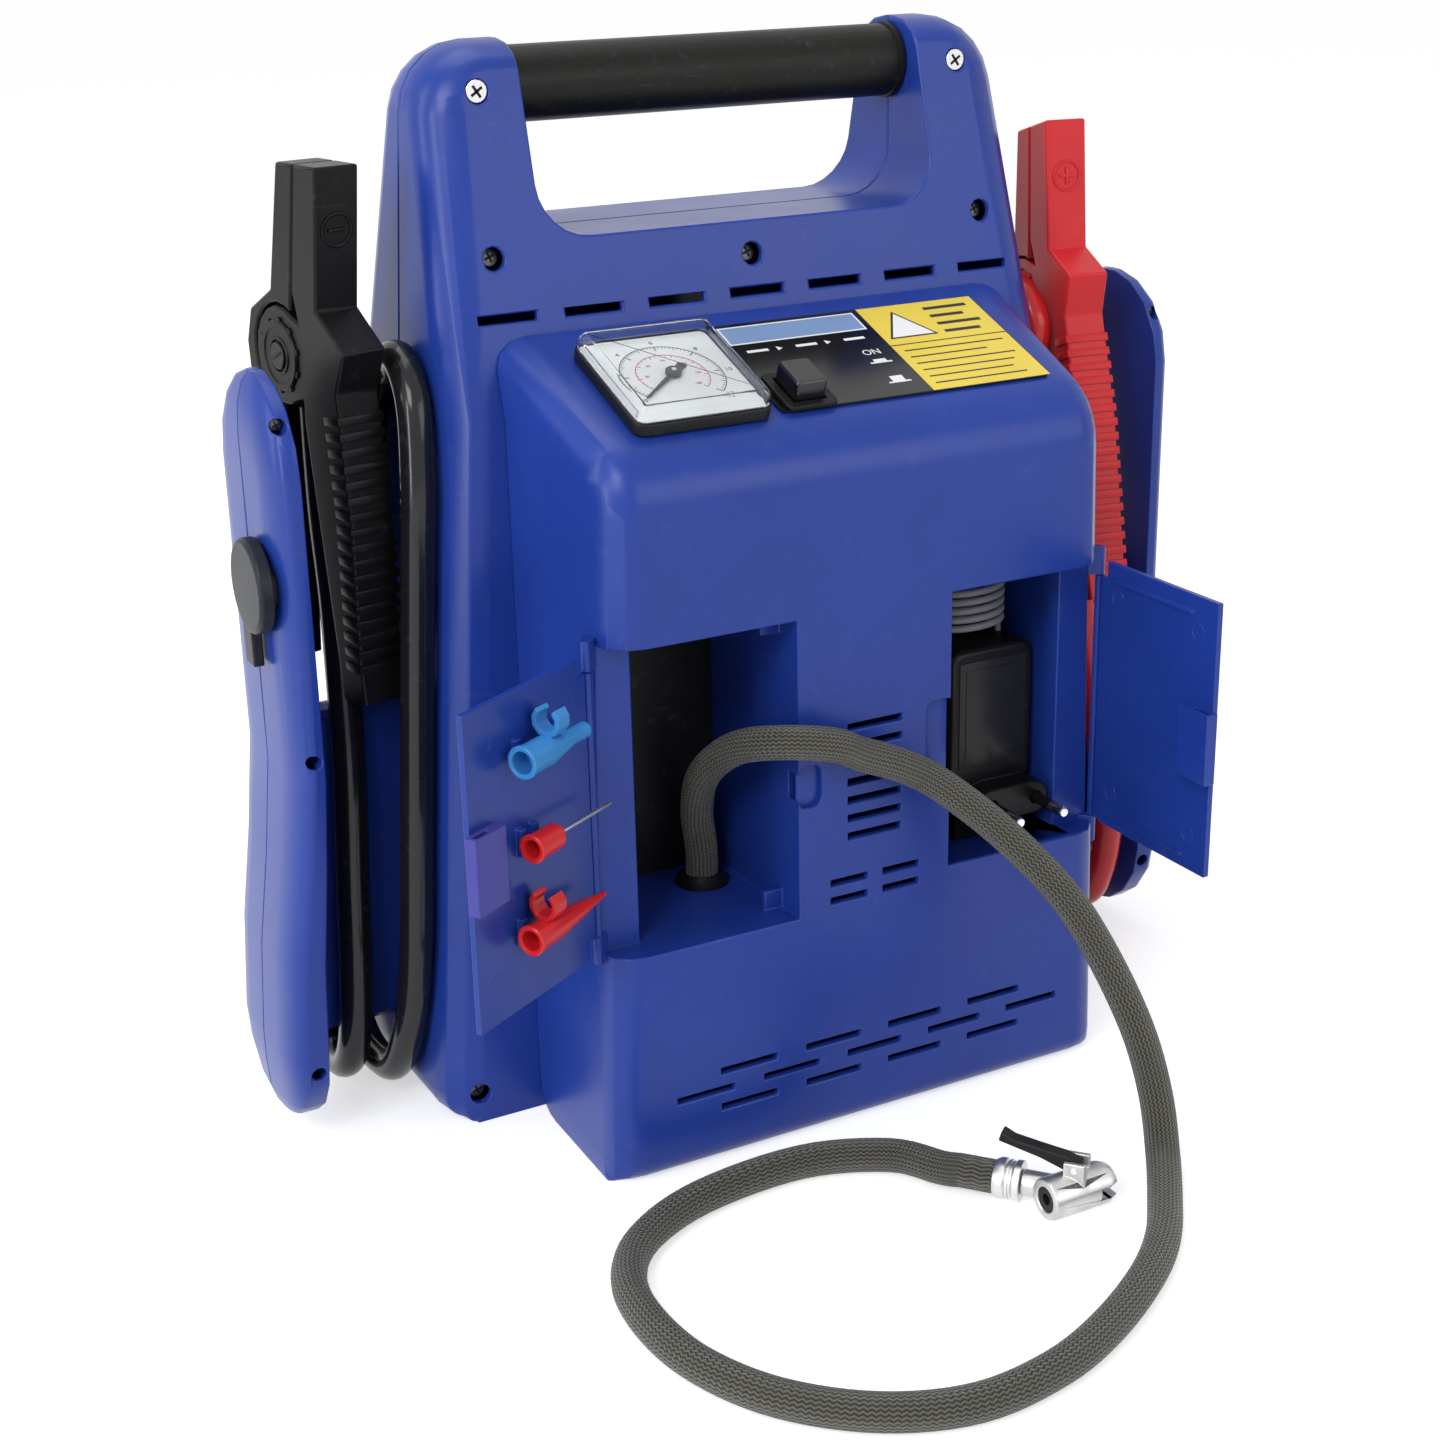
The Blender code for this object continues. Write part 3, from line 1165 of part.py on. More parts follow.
def make_jaw_plates(word, tool, piece, front, rear, mid):
    """Copper contact plates let into the facing sides of the jaws."""
    slope = (21.8 - 13.8) / 40.6
    start, end = -2.0, -2.0 - JAW_PLATE_LENGTH
    half = JAW_PLATE_WIDTH / 2
    for tag, arm, face, sign in (("front", front, 13.8, -1), ("rear", rear, 14.4, 1)):
        def strip(near, far, top, low, wide):
            def at(z, off):
                return (face - slope * z + sign * off, z)
            outline = [at(top, near), at(top, far), at(low, far), at(low, near)]
            if sign > 0:
                outline = outline[::-1]
            return prism(outline, "x", mid - wide, mid + wide)
        pocket = strip(-0.5, JAW_PLATE_THICKNESS + 2 * GAP, start + GAP, end - GAP, half + GAP)
        boolean(arm, tool("%s_%s_jaw_pocket" % (word, tag), pocket))
        piece("%s_%s_jaw" % (word, tag),
              strip(GAP, JAW_PLATE_THICKNESS + GAP, start, end, half), "copper")


# ------------------------------------------------------------------ cables
def smooth_route(points, cuts):
    """Smooth curve through the route points, each stretch cut into equal shares."""
    spots = [Vector(point) for point in points]
    ends = [2 * spots[0] - spots[1]] + spots + [2 * spots[-1] - spots[-2]]
    route = []
    for i in range(1, len(ends) - 2):
        a, b, c, d = ends[i - 1:i + 3]
        for k in range(cuts):
            t = k / cuts
            route.append(0.5 * ((2 * b) + (c - a) * t + (2 * a - 5 * b + 4 * c - d) * t ** 2
                                + (3 * b - a - 3 * c + d) * t ** 3))
    route.append(spots[-1])
    return route


def tube(name, route, radius, resolution, key):
    curve = bpy.data.curves.new(name, "CURVE")
    curve.dimensions = "3D"
    curve.bevel_depth = radius * MM
    curve.bevel_resolution = resolution
    curve.use_fill_caps = True
    spline = curve.splines.new("POLY")
    spline.points.add(len(route) - 1)
    for spot, point in zip(spline.points, route):
        spot.co = (*(Vector(point) * MM), 1.0)
    curve.materials.append(material(name, key))
    return link(name, curve)


def least_gap(route, radius, skip):
    """Smallest clearance of a tube to itself, leaving out neighbouring points."""
    least = 1e9
    travelled = [0.0]
    for one, two in zip(route, route[1:]):
        travelled.append(travelled[-1] + (two - one).length)
    for i, one in enumerate(route):
        for j in range(i + 1, len(route)):
            if travelled[j] - travelled[i] > skip:
                least = min(least, (route[j] - one).length - 2 * radius)
    return least


def beside_body(z, extra=0.0):
    return body_half_width(z) + LEAD_RADIUS + LEAD_CLEARANCE + extra


def lead_route(side):
    """Jump lead: out of the clamp, round the spool, over the top and round again."""
    front_run, top_run = (1.5, 1.2) if side < 0 else (6.8, 10.0)
    under_z = LEAD_RADIUS + 2.5
    rear_y = SPOOL_FRONT_Y + SPOOL_DEPTH + LEAD_RADIUS + LEAD_CLEARANCE + 0.6
    if side < 0:
        points = [(144.1, 38.6, 240), (144.3, 37.8, 215), (144.4, 33.5, 185), (146.0, 28.4, 158),
                  (147.3, 24.4, 137), (148.4, 22.8, 118),
                  (150.0, 22.6, 90), (151.6, 22.0, 60), (153.0, 23.5, 34),
                  (153.8, 30.5, 15.5)]
    else:
        points = [(140.0, 15.9, 230), (139.5, 12.4, 214), (139.3, 5.5, 190), (139.6, -3.8, 152),
                  (144.5, -7.6, 118), (150.6, -8.6, 86), (155.6, -7.4, 56), (157.6, -1.0, 30),
                  (157.2, 10.5, 15.0)]
    outer = 154.2
    points += [(outer, 43.0, under_z), (outer, 55.0, 15.5), (outer, rear_y + 1, 36),
               (outer - 0.7, rear_y, 70), (outer - 4.5, rear_y, 104), (138.5, rear_y, 138),
               (beside_body(170, 0.8), rear_y - 0.6, 170), (beside_body(205), rear_y - 2.5, 205),
               (beside_body(240), 45.5, 240), (beside_body(262), 32.0, 262),
               (beside_body(269), 18.0, 268), (beside_body(258), 5.5, 256),
               (beside_body(232), top_run, 232), (beside_body(207), top_run, 207),
               (beside_body(160), front_run, 160), (beside_body(110), front_run, 110),
               (beside_body(64), front_run + 0.5, 64), (beside_body(34, 0.3), 7.5, 34),
               (beside_body(14, 0.4), 20.0, 14.0), (beside_body(8, 0.6), 36.0, under_z),
               (beside_body(8, 0.8), 52.0, 10.5), (beside_body(20, 0.8), 66.5, 22),
               (beside_body(38, 0.4), 72.5, 40), (beside_body(56, 0.6), 68.0, 57.0),
               (beside_body(64, 0.9), SPOOL_FRONT_Y + SPOOL_DEPTH + GAP + 2 * LEAD_RADIUS, 63.5)]
    last = (beside_body(64, 0.9), SPOOL_FRONT_Y + SPOOL_DEPTH + GAP, 63.5)
    first = (144.05, 38.4, 252.0) if side < 0 else (140.5, 18.6, 244.3)
    route = [Vector(first)] + smooth_route(points, 2) + [Vector(last)]
    return [Vector((side * spot.x, spot.y, spot.z)) for spot in route]


def make_leads():
    for side, name, key in ((-1, "black_lead", "gloss_black"), (1, "red_lead", "red")):
        route = lead_route(side)
        tube(name, route, LEAD_RADIUS, 1, key)
        print(name, "least gap to itself", round(least_gap(route, LEAD_RADIUS, 60), 2), "mm")


def hose_points():
    floor = HOSE_RADIUS + FLOOR_CLEARANCE
    air = [(-42.5, -34.6, SILL_Z + GAP), (-42.5, -34.6, SILL_Z + 13), (-44.6, -36.0, 112),
           (-45.6, -44.0, 128), (-43.4, -62.0, 142.6), (-37.9, -82.6, 150.4), (-21.9, -90.4, 148.9),
           (-12.4, -91.0, 144.2), (3.0, -93.0, 137.4), (14.7, -97.8, 129.9), (31.4, -108.4, 113.9),
           (47.4, -121.0, 93.3),
           (56.7, -131.8, 73.2), (63.4, -144.4, 48.5), (64.8, -154.2, 27.5), (60.8, -164.4, 10.5)]
    ground = [(49.5, -180.0), (34.0, -198.4), (16.0, -213.0), (-8.9, -227.2), (-34.2, -236.4),
              (-63.2, -238.6), (-89.7, -228.6), (-111.5, -208.6), (-124.1, -183.4), (-127.4, -157.1),
              (-123.0, -134.2), (-108.6, -116.0), (-81.1, -103.6), (-42.3, -101.2), (-14.0, -112.5),
              (-1.0, -131.0), (7.6, -143.65)]
    return air + [(x, y, floor) for x, y in ground]


def make_hose():
    """Free hose from the left bin over the floor; it ends level and straight."""
    points = [Vector(point) for point in hose_points()]
    along = Vector((math.cos(HOSE_END_HEADING), math.sin(HOSE_END_HEADING), 0))
    rise = CHUCK_RADIUS - HOSE_RADIUS
    points[-1].z += rise
    points[-2].z += rise * 0.6
    end = points[-1].copy()
    points[-1] = end - along * 2 * HOSE_RADIUS
    points[-2] = points[-1] - along * 5 + Vector((-1.2, 1.6, -0.3 * rise))
    route = smooth_route(points, 2) + [end]
    tube("air_hose", route, HOSE_RADIUS, 2, "hose")
    return end, along


def make_chuck(end, along):
    """Crimped ferrule, clip-on chuck and its thumb lever, lying on the floor."""
    heading = math.atan2(along.y, along.x)
    ferrule = add_part("hose_ferrule", lathe([(FERRULE_RADIUS - 0.8, 0), (FERRULE_RADIUS, 1.5),
                                              (FERRULE_RADIUS, 3.5), (FERRULE_RADIUS - 0.7, 4.3),
                                              (FERRULE_RADIUS - 0.7, 6.2), (FERRULE_RADIUS, 7),
                                              (FERRULE_RADIUS, FERRULE_LENGTH)], "x", 18), "chrome")
    start = end + along * GAP
    place(ferrule, start, (0, 0, heading))
    joint = start + along * (FERRULE_LENGTH + GAP)
    reach = (joint.y - CHUCK_Y) / -along.y
    centre = joint + along * reach
    body = empty("chuck_frame", centre + Vector((1.5, 0, 0)), (0, 0, 0))
    half = CHUCK_LENGTH / 2
    head = add_part("chuck_body", lathe([(CHUCK_BORE, 4.5 - half), (CHUCK_BORE, 1.0 - half),
                                         (CHUCK_BORE + 0.2, -half), (CHUCK_RADIUS - 0.4, -half),
                                         (CHUCK_RADIUS, 1 - half), (CHUCK_RADIUS, half - 3),
                                         (CHUCK_RADIUS - 1.2, half)], "x", 20), "chrome")
    neck = add_tool("chuck_neck", lathe([(CHUCK_NECK_RADIUS, 0), (CHUCK_NECK_RADIUS, reach)], "x", 14))
    place(neck, joint, (0, 0, heading))
    ears = add_tool("chuck_ears", box((-3.5, -4.6, 2), (3.5, 4.6, CHUCK_RADIUS + 4.5)))
    fork = add_tool("chuck_fork", box((CHUCK_LENGTH / 2 - 7, -12, -2.2), (CHUCK_LENGTH / 2 + 3, 12, 2.2)))
    lever_room = add_tool("chuck_lever_room",
                          box((-8.5, -LEVER_WIDTH / 2 - GAP, CHUCK_RADIUS + 0.2),
                              (5.5, LEVER_WIDTH / 2 + GAP, CHUCK_RADIUS + 8)))
    for tool in (ears, lever_room):
        place(tool, (0, 0, 0), (0, 0, heading), body)
    for item in (fork, head):
        place(item, parent=body)
    for tool, operation in ((neck, "UNION"), (ears, "UNION"), (fork, "DIFFERENCE"),
                            (lever_room, "DIFFERENCE")):
        boolean(head, tool, operation)
    outline = [(0.6, -1.6), (1.6, -0.5), (1.9, 1.2), (-3, 3.4), (-12, 4.8), (6 - LEVER_LENGTH, 6.4),
               (2 - LEVER_LENGTH, 8.4), (1 - LEVER_LENGTH, 5.0), (-12, 1.4), (-4, -1.6)]
    lever = add_part("chuck_lever", prism(outline[::-1], "y", -LEVER_WIDTH / 2, LEVER_WIDTH / 2),
                     "black")
    place(lever, (0, 0, CHUCK_RADIUS + 2.3), (0, 0, heading), body)
    return body


# ------------------------------------------------------------------ charger
def make_charger():
    """Plug-in charger resting in the right-hand compartment with its lead coiled on it."""
    x0, x1 = CHARGER_X - CHARGER_WIDTH / 2, CHARGER_X + CHARGER_WIDTH / 2
    back = CHARGER_FRONT_Y + CHARGER_DEPTH
    top = CHARGER_BOTTOM_Z + CHARGER_HEIGHT
    outline = fillet([(x0, CHARGER_BOTTOM_Z, CHARGER_RADIUS), (x1, CHARGER_BOTTOM_Z, CHARGER_RADIUS),
                      (x1, top, CHARGER_RADIUS), (x0, top, CHARGER_RADIUS)], 3)
    normals = outline_normals(outline)
    rings = []
    for y, inset in ((CHARGER_FRONT_Y, 1.6), (CHARGER_FRONT_Y + 1.6, 0), (back - 1.6, 0), (back, 1.6)):
        rings.append([(a - inset * na, y, b - inset * nb) for (a, b), (na, nb) in zip(outline, normals)])
    body = add_part("charger_body", join_rings(rings), "black")
    nose_x = BIN_SIDE_X - NOSE_WIDTH / 2 - 1.2
    front = CHARGER_FRONT_Y - NOSE_LENGTH
    nose = fillet([(nose_x - NOSE_WIDTH / 2, NOSE_Z - NOSE_HEIGHT / 2, 5.5),
                   (nose_x + NOSE_WIDTH / 2, NOSE_Z - NOSE_HEIGHT / 2, 5.5),
                   (nose_x + NOSE_WIDTH / 2, NOSE_Z + NOSE_HEIGHT / 2, 5.5),
                   (nose_x - NOSE_WIDTH / 2, NOSE_Z + NOSE_HEIGHT / 2, 5.5)], 3)
    boolean(body, add_tool("plug_nose", prism(nose, "y", front, back - 6)), "UNION")
    foot = add_tool("charger_foot", box((CHARGER_X - 12, CHARGER_FRONT_Y + 5, SILL_Z + GAP),
                                        (CHARGER_X + 12, back - 3, CHARGER_BOTTOM_Z + 3)))
    boolean(body, foot, "UNION")
    for side, word in ((-1, "left"), (1, "right")):
        x = nose_x + side * PIN_SPACING / 2
        hole = add_tool(word + "_pin_hole", lathe([(PIN_RADIUS + GAP, front - 2),
                                                   (PIN_RADIUS + GAP, front + 3)], "y", 12, (x, NOSE_Z)))
        boolean(body, hole)
        pin = [(PIN_RADIUS - 0.6, front - PIN_LENGTH), (PIN_RADIUS, front - PIN_LENGTH + 1.2),
               (PIN_RADIUS, front + 3 - GAP)]
        add_part(word + "_plug_pin", lathe(pin, "y", 12, (x, NOSE_Z)), "chrome")
    make_hank(top, back)


def make_hank(top, back):
    """Spare charger lead: flat loops stacked on the charger, in one piece."""
    centre = (CHARGER_X - 2.0, CHARGER_FRONT_Y + 13.5)
    low = top + 4.0
    steps = 24
    route = []
    turns = HANK_LOOPS * steps
    start = Vector((centre[0] + HANK_HALF_X, centre[1], top + GAP))
    route += [start, start + Vector((0, 0, 2 * ADAPTOR_LEAD_RADIUS))]
    for k in range(2, turns + 1):
        angle = 2 * math.pi * k / steps
        route.append(Vector((centre[0] + HANK_HALF_X * math.cos(angle),
                             centre[1] + HANK_HALF_Y * math.sin(angle),
                             low + HANK_PITCH * k / steps)))
    for k in range(1, 7):
        angle = math.pi / 12 * k
        route.append(Vector((centre[0] + HANK_HALF_X * math.cos(angle),
                             centre[1] + HANK_HALF_Y * math.sin(angle),
                             low + HANK_PITCH * HANK_LOOPS + HANK_END_RISE * math.sin(angle))))
    tube("lead_hank", route, ADAPTOR_LEAD_RADIUS, 1, "gloss_black")
    end = route[-1]
    plug = [(PLUG_TIP_RADIUS, end.x - GAP - PLUG_LENGTH - PLUG_TIP_LENGTH),
            (PLUG_TIP_RADIUS, end.x - GAP - PLUG_LENGTH), (PLUG_RADIUS, end.x - GAP - PLUG_LENGTH + 0.01),
            (PLUG_RADIUS, end.x - GAP - 4), (PLUG_RADIUS - 1.6, end.x - GAP)]
    add_part("charger_plug", lathe(plug, "x", 16, (end.y, end.z)), "black")
    print("lead_hank least gap to itself", round(HANK_PITCH - 2 * ADAPTOR_LEAD_RADIUS, 2), "mm")


# ------------------------------------------------------------------ inside
def gear(teeth, module, width, bore, centre, low_x, turn=0.0):
    pitch = teeth * module / 2
    outline = []
    step = 2 * math.pi / teeth
    for i in range(teeth):
        for share, radius in ((-0.24, pitch - 1.25 * module), (-0.11, pitch + 0.9 * module),
                              (0.11, pitch + 0.9 * module), (0.24, pitch - 1.25 * module)):
            angle = turn + (i + share) * step
            outline.append((centre[0] + radius * math.cos(angle),
                            centre[1] + radius * math.sin(angle)))
    return prism(outline, "x", low_x, low_x + width)


def make_inside():
    floor = BODY_WALL + GAP
    half = BATTERY_WIDTH / 2
    battery = add_part("battery", box((-half, PARTING_Y - BATTERY_DEPTH / 2, floor),
                                      (half, PARTING_Y + BATTERY_DEPTH / 2, floor + BATTERY_HEIGHT)),
                       "grey")
    posts = bmesh.new()
    top = floor + BATTERY_HEIGHT
    for side in (-1, 1):
        x = side * (half - 12)
        box((x - 6, PARTING_Y - 6, top - 1), (x + 6, PARTING_Y + 6, top + TERMINAL_HEIGHT), posts)
    boolean(battery, add_tool("battery_posts", posts), "UNION")
    frame_low = top + GAP
    deck = frame_low + FRAME_THICKNESS
    motor_z = deck + GAP + MOTOR_RADIUS
    distance = (PINION_TEETH + GEAR_TEETH) * GEAR_MODULE / 2
    gear_z = motor_z + distance
    shelf = gear_z + GEAR_TEETH * GEAR_MODULE / 2 + 5
    wall0, wall1 = GEAR_WALL_X, GEAR_WALL_X + FRAME_THICKNESS
    frame = add_part("compressor_frame",
                     box((-FRAME_WIDTH / 2 - 8, PARTING_Y - 26, frame_low),
                         (FRAME_WIDTH / 2 - 8, PARTING_Y + 26, deck)), "steel")
    boolean(frame, add_tool("frame_wall", box((wall0, PARTING_Y - 26, frame_low + 1),
                                              (wall1, PARTING_Y + 26, shelf + 1))), "UNION")
    boolean(frame, add_tool("frame_shelf", box((wall0 - 34, PARTING_Y - 20, shelf - 2),
                                               (wall1 - 1, PARTING_Y + 20, shelf + 1))), "UNION")
    for word, radius, z in (("motor", MOTOR_SHAFT_RADIUS, motor_z), ("gear", GEAR_SHAFT_RADIUS, gear_z)):
        boolean(frame, add_tool(word + "_shaft_hole",
                                lathe([(radius + GAP, wall0 - 4), (radius + GAP, wall1 + 4)], "x", 14,
                                      (PARTING_Y, z))))
    motor = [(MOTOR_RADIUS - 2, wall0 - GAP - MOTOR_LENGTH), (MOTOR_RADIUS, wall0 - GAP - MOTOR_LENGTH + 2),
             (MOTOR_RADIUS, wall0 - GAP), (MOTOR_SHAFT_RADIUS, wall0 - GAP + 0.01),
             (MOTOR_SHAFT_RADIUS, wall1 + 2 + GEAR_WIDTH)]
    add_part("compressor_motor", lathe(motor, "x", 20, (PARTING_Y, motor_z)), "steel")
    gear_low = wall1 + 1.0
    pinion = add_part("motor_pinion", gear(PINION_TEETH, GEAR_MODULE, GEAR_WIDTH, 0, (0, 0), 0,
                                           math.pi / 2), "steel")
    bore = add_tool("pinion_bore", lathe([(MOTOR_SHAFT_RADIUS + GAP, -3),
                                          (MOTOR_SHAFT_RADIUS + GAP, GEAR_WIDTH + 3)], "x", 12))
    for item in (pinion, bore):
        place(item, (gear_low, PARTING_Y, motor_z))
    boolean(pinion, bore)
    drive = add_part("drive_gear", gear(GEAR_TEETH, GEAR_MODULE, GEAR_WIDTH, 0, (0, 0), 0,
                                        -math.pi / 2 + math.pi / GEAR_TEETH), "white")
    stub = add_tool("gear_stub", lathe([(GEAR_SHAFT_RADIUS, -FRAME_THICKNESS - 3),
                                        (GEAR_SHAFT_RADIUS, 2)], "x", 14))
    for item in (drive, stub):
        place(item, (gear_low, PARTING_Y, gear_z))
    boolean(drive, stub, "UNION")
    pump = [(PUMP_RADIUS, shelf + 1 + GAP), (PUMP_RADIUS, shelf + 5)]
    for k in range(3):
        low = shelf + 5 + k * 7.0
        pump += [(PUMP_RADIUS - 4, low + 0.01), (PUMP_RADIUS - 4, low + 3.8), (PUMP_RADIUS, low + 3.81),
                 (PUMP_RADIUS, low + 7.0)]
    pump += [(PUMP_RADIUS - 3, shelf + 5 + 22.5), (PUMP_RADIUS - 3, shelf + PUMP_HEIGHT)]
    add_part("compressor_cylinder", lathe(pump, "z", 14, (wall0 - 16, PARTING_Y)), "grey")
    x = FRAME_WIDTH / 2 - 5
    add_part("charge_board", box((x, PARTING_Y - BOARD_THICKNESS / 2, top + GAP),
                                 (x + BOARD_WIDTH - 8, PARTING_Y + BOARD_THICKNESS / 2,
                                  top + GAP + BOARD_HEIGHT)), "board")


# ------------------------------------------------------------------ the pack
def main():
    clear_scene()
    make_body()
    shell, deck = make_service_box()
    left_door = make_door("left_door", -1, SILL_Z, LEFT_DOOR_OPEN)
    make_door("right_door", 1, RIGHT_SILL_Z, RIGHT_DOOR_OPEN)
    make_nozzles(left_door)
    make_gauge(deck)
    make_switch(deck)
    make_label(deck)
    left = make_wing(-1, "left", WING_SPLAY_LEFT)
    make_wing(1, "right", WING_SPLAY_RIGHT)
    make_spool(-1, "left", WING_SPLAY_LEFT)
    make_spool(1, "right", WING_SPLAY_RIGHT)
    make_socket(left)
    make_clamp(-1, "black", "black")
    make_clamp(1, "red", "red")
    make_leads()
    end, along = make_hose()
    make_chuck(end, along)
    make_charger()
    make_inside()
    bpy.context.view_layer.update()


main()
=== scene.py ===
"""Finished look of a portable jump starter pack with a built-in tyre compressor.

Each solid of the frame gets a dressed copy with rounded edges and a worked finish, and the
small fittings are added in the solids' own frames. Lengths in the local frames are
millimetres and are turned into metres by MM.
"""

import json
import math

import bmesh
import bpy
from bpy.props import FloatProperty, FloatVectorProperty, IntProperty, PointerProperty
from bpy.types import Operator, Panel, PropertyGroup
from mathutils import Euler, Matrix, Vector


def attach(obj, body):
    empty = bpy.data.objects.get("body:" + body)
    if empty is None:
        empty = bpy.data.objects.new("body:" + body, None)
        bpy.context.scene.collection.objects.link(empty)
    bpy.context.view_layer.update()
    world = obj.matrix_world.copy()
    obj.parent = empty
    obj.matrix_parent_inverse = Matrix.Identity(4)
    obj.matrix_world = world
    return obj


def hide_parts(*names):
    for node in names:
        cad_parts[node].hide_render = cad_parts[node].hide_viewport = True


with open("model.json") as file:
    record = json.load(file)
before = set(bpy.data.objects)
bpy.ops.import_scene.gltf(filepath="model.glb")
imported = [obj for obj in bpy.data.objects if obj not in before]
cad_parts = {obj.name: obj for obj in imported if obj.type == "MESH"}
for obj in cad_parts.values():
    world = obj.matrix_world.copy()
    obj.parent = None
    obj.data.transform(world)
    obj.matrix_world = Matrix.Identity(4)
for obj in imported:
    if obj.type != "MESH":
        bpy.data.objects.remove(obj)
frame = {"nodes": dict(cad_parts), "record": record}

bl_info = {
    "name": "Jump starter pack",
    "version": (1, 0, 0),
    "blender": (4, 5, 0),
    "location": "3D View > Sidebar > Jump pack",
    "description": "Dresses the solids of a portable jump starter pack",
    "category": "Object",
}

MM = 0.001
BODY_OF = {node: body for body, nodes in frame["record"]["behaviour"]["bodies"].items()
           for node in nodes}


def turned_frame(place, degrees=(0.0, 0.0, 0.0)):
    """Local frame in millimetres: turned by the Euler angles, then moved to its place."""
    turn = Euler([math.radians(a) for a in degrees], "XYZ").to_matrix().to_4x4()
    return Matrix.Translation(place) @ turn


# The body's front is upright up to LEAN_START_Z and leans back above it.
BODY_FRONT_Y = -12.65
LEAN_START_Z = 250.0
LEAN = 0.2547
PARTING_Y = 33.35
GRIP_Z = 351.0
HANDLE_SCREW_X = 91.0
# Frames of the fittings: place in millimetres, then turn in degrees.
DECK = turned_frame((0, -43.65, 261.6733), (21, 0, 0))
LEFT_DOOR = turned_frame((-99.2, -69.25, 0), (0, 0, -149.9))
RIGHT_DOOR = turned_frame((99.2, -69.25, 0), (0, 0, 90.2))
BLACK_CLAMP = turned_frame((-145.28, 45.04, 268.7), (0, 0, 10.2))
RED_CLAMP = turned_frame((142.41, 29.11, 258.81), (-14, 0, -10.2))
CHUCK_HEADING = -50.0
CHUCK = turned_frame((25.88, -163.65, 7.3), (0, 0, 0))
CHUCK_LEVER = turned_frame((25.88, -163.65, 16.8), (0, 0, CHUCK_HEADING))
FERRULE = turned_frame((7.79, -143.88, 7.3), (0, 0, CHUCK_HEADING))
# The clamp's own frame lies at its rivet, this far behind and below its head's front top corner.
PIVOT_DEPTH, PIVOT_DROP = 32.5, 62.9
GAUGE_PLACE = (-54.0, -0.5)
DIAL_TOP = 4.3
DIAL_SWEEP = math.radians(265.0)
LABEL_TOP = 0.8
PRINT = 0.06
WING_X = 170.4
WING_SCREW_Y = 0.0
CAP_CENTRE = (-181.6, 8.5, 203.0)
HANK_CENTRE = (61.6, -43.1)
HANK_BASE_Z, HANK_START_Z = 158.0, 162.0
HANK_LOOPS, HANK_PITCH, HANK_STEPS = 5, 3.2, 48
HANK_REACH, HANK_WIDTH = 13.0, 8.5
HANK_END_RISE = 5.3
CHARGER_LEAD_RADIUS = 1.3
PIN_MIDDLE_X, PIN_HALF_SPACING, PIN_Z = 67.3, 9.3, 101.5
LEAD_GAP = 0.5
SPOOL_REAR_Y = 47.5
LEAD_EXIT_Z = 63.5
# A rounding narrows where a neighbouring edge is shorter than this many widths.
SHORT_EDGE = 3.0
QUARTER = math.radians(90)
# Name, place, target, size and power of each lamp, in metres and watts.
LAMPS = (("key", (-1.5, -1.3, 1.7), (0, 0, 0.18), (0.9, 0.9), 20.0),
         ("left strip", (-1.7, 0.35, 0.8), (0, 0, 0.2), (0.35, 1.5), 7.0),
         ("front fill", (0.9, -2.0, 0.9), (0, 0, 0.15), (1.4, 1.0), 9.0),
         ("side fill", (-2.1, -0.8, 0.6), (0, 0, 0.17), (0.25, 1.2), 12.0),
         ("top", (-0.1, 0.3, 1.9), (0, 0, 0.2), (1.2, 1.2), 9.0))


class JumpPackSettings(PropertyGroup):
    """Sizes and colours that a user would change."""

    blue: FloatVectorProperty(name="Housing blue", description="Moulded housing and doors",
                              subtype="COLOR", size=3, min=0, max=1,
                              default=(0.014, 0.044, 0.295))
    black: FloatVectorProperty(name="Black plastic", description="Gauge base, switch and charger",
                               subtype="COLOR", size=3, min=0, max=1,
                               default=(0.005, 0.005, 0.0055))
    red: FloatVectorProperty(name="Clamp red", description="Red clamp",
                             subtype="COLOR", size=3, min=0, max=1, default=(0.62, 0.022, 0.028))
    nozzle_blue: FloatVectorProperty(name="Nozzle blue", description="Light blue air nozzle",
                                     subtype="COLOR", size=3, min=0, max=1,
                                     default=(0.045, 0.25, 0.62))
    yellow: FloatVectorProperty(name="Label yellow", description="Right part of the deck label",
                                subtype="COLOR", size=3, min=0, max=1, default=(0.80, 0.62, 0.07))
    sleeve: FloatVectorProperty(name="Sleeve olive", description="Threads of the braided hose",
                                subtype="COLOR", size=3, min=0, max=1,
                                default=(0.085, 0.081, 0.056))
    edge_round: FloatProperty(name="Edge rounding", description="Radius of the moulded edges",
                              default=0.0005, min=0.0001, max=0.002, unit="LENGTH", precision=4)
    grain_size: FloatProperty(name="Grain", description="Repeats per metre of the moulded grain",
                              default=1500.0, min=100.0, max=5000.0)
    braid_strands: IntProperty(name="Braid strands", description="Strands round the hose sleeve",
                               default=26, min=6, max=60)
    clamp_ribs: IntProperty(name="Clamp ribs", description="Grip ribs on each clamp handle",
                            default=17, min=4, max=30)
    hose_diameter: FloatProperty(name="Hose diameter", description="Outer diameter of the air hose",
                                 default=0.0115, min=0.005, max=0.02, unit="LENGTH", precision=4)
    lead_diameter: FloatProperty(name="Lead diameter", description="Outer diameter of a jump lead",
                                 default=0.0118, min=0.005, max=0.02, unit="LENGTH", precision=4)


# ------------------------------------------------------------------ node groups
# Sockets of the Mix node that hold colours.
MIX_FACTOR, MIX_FIRST, MIX_SECOND, MIX_RESULT = 0, 6, 7, 2


def socket(tree, name, kind, way, default=None):
    """Named socket of a node group, with its default value."""
    item = tree.interface.new_socket(name=name, in_out=way, socket_type="NodeSocket" + kind)
    if default is not None:
        item.default_value = default


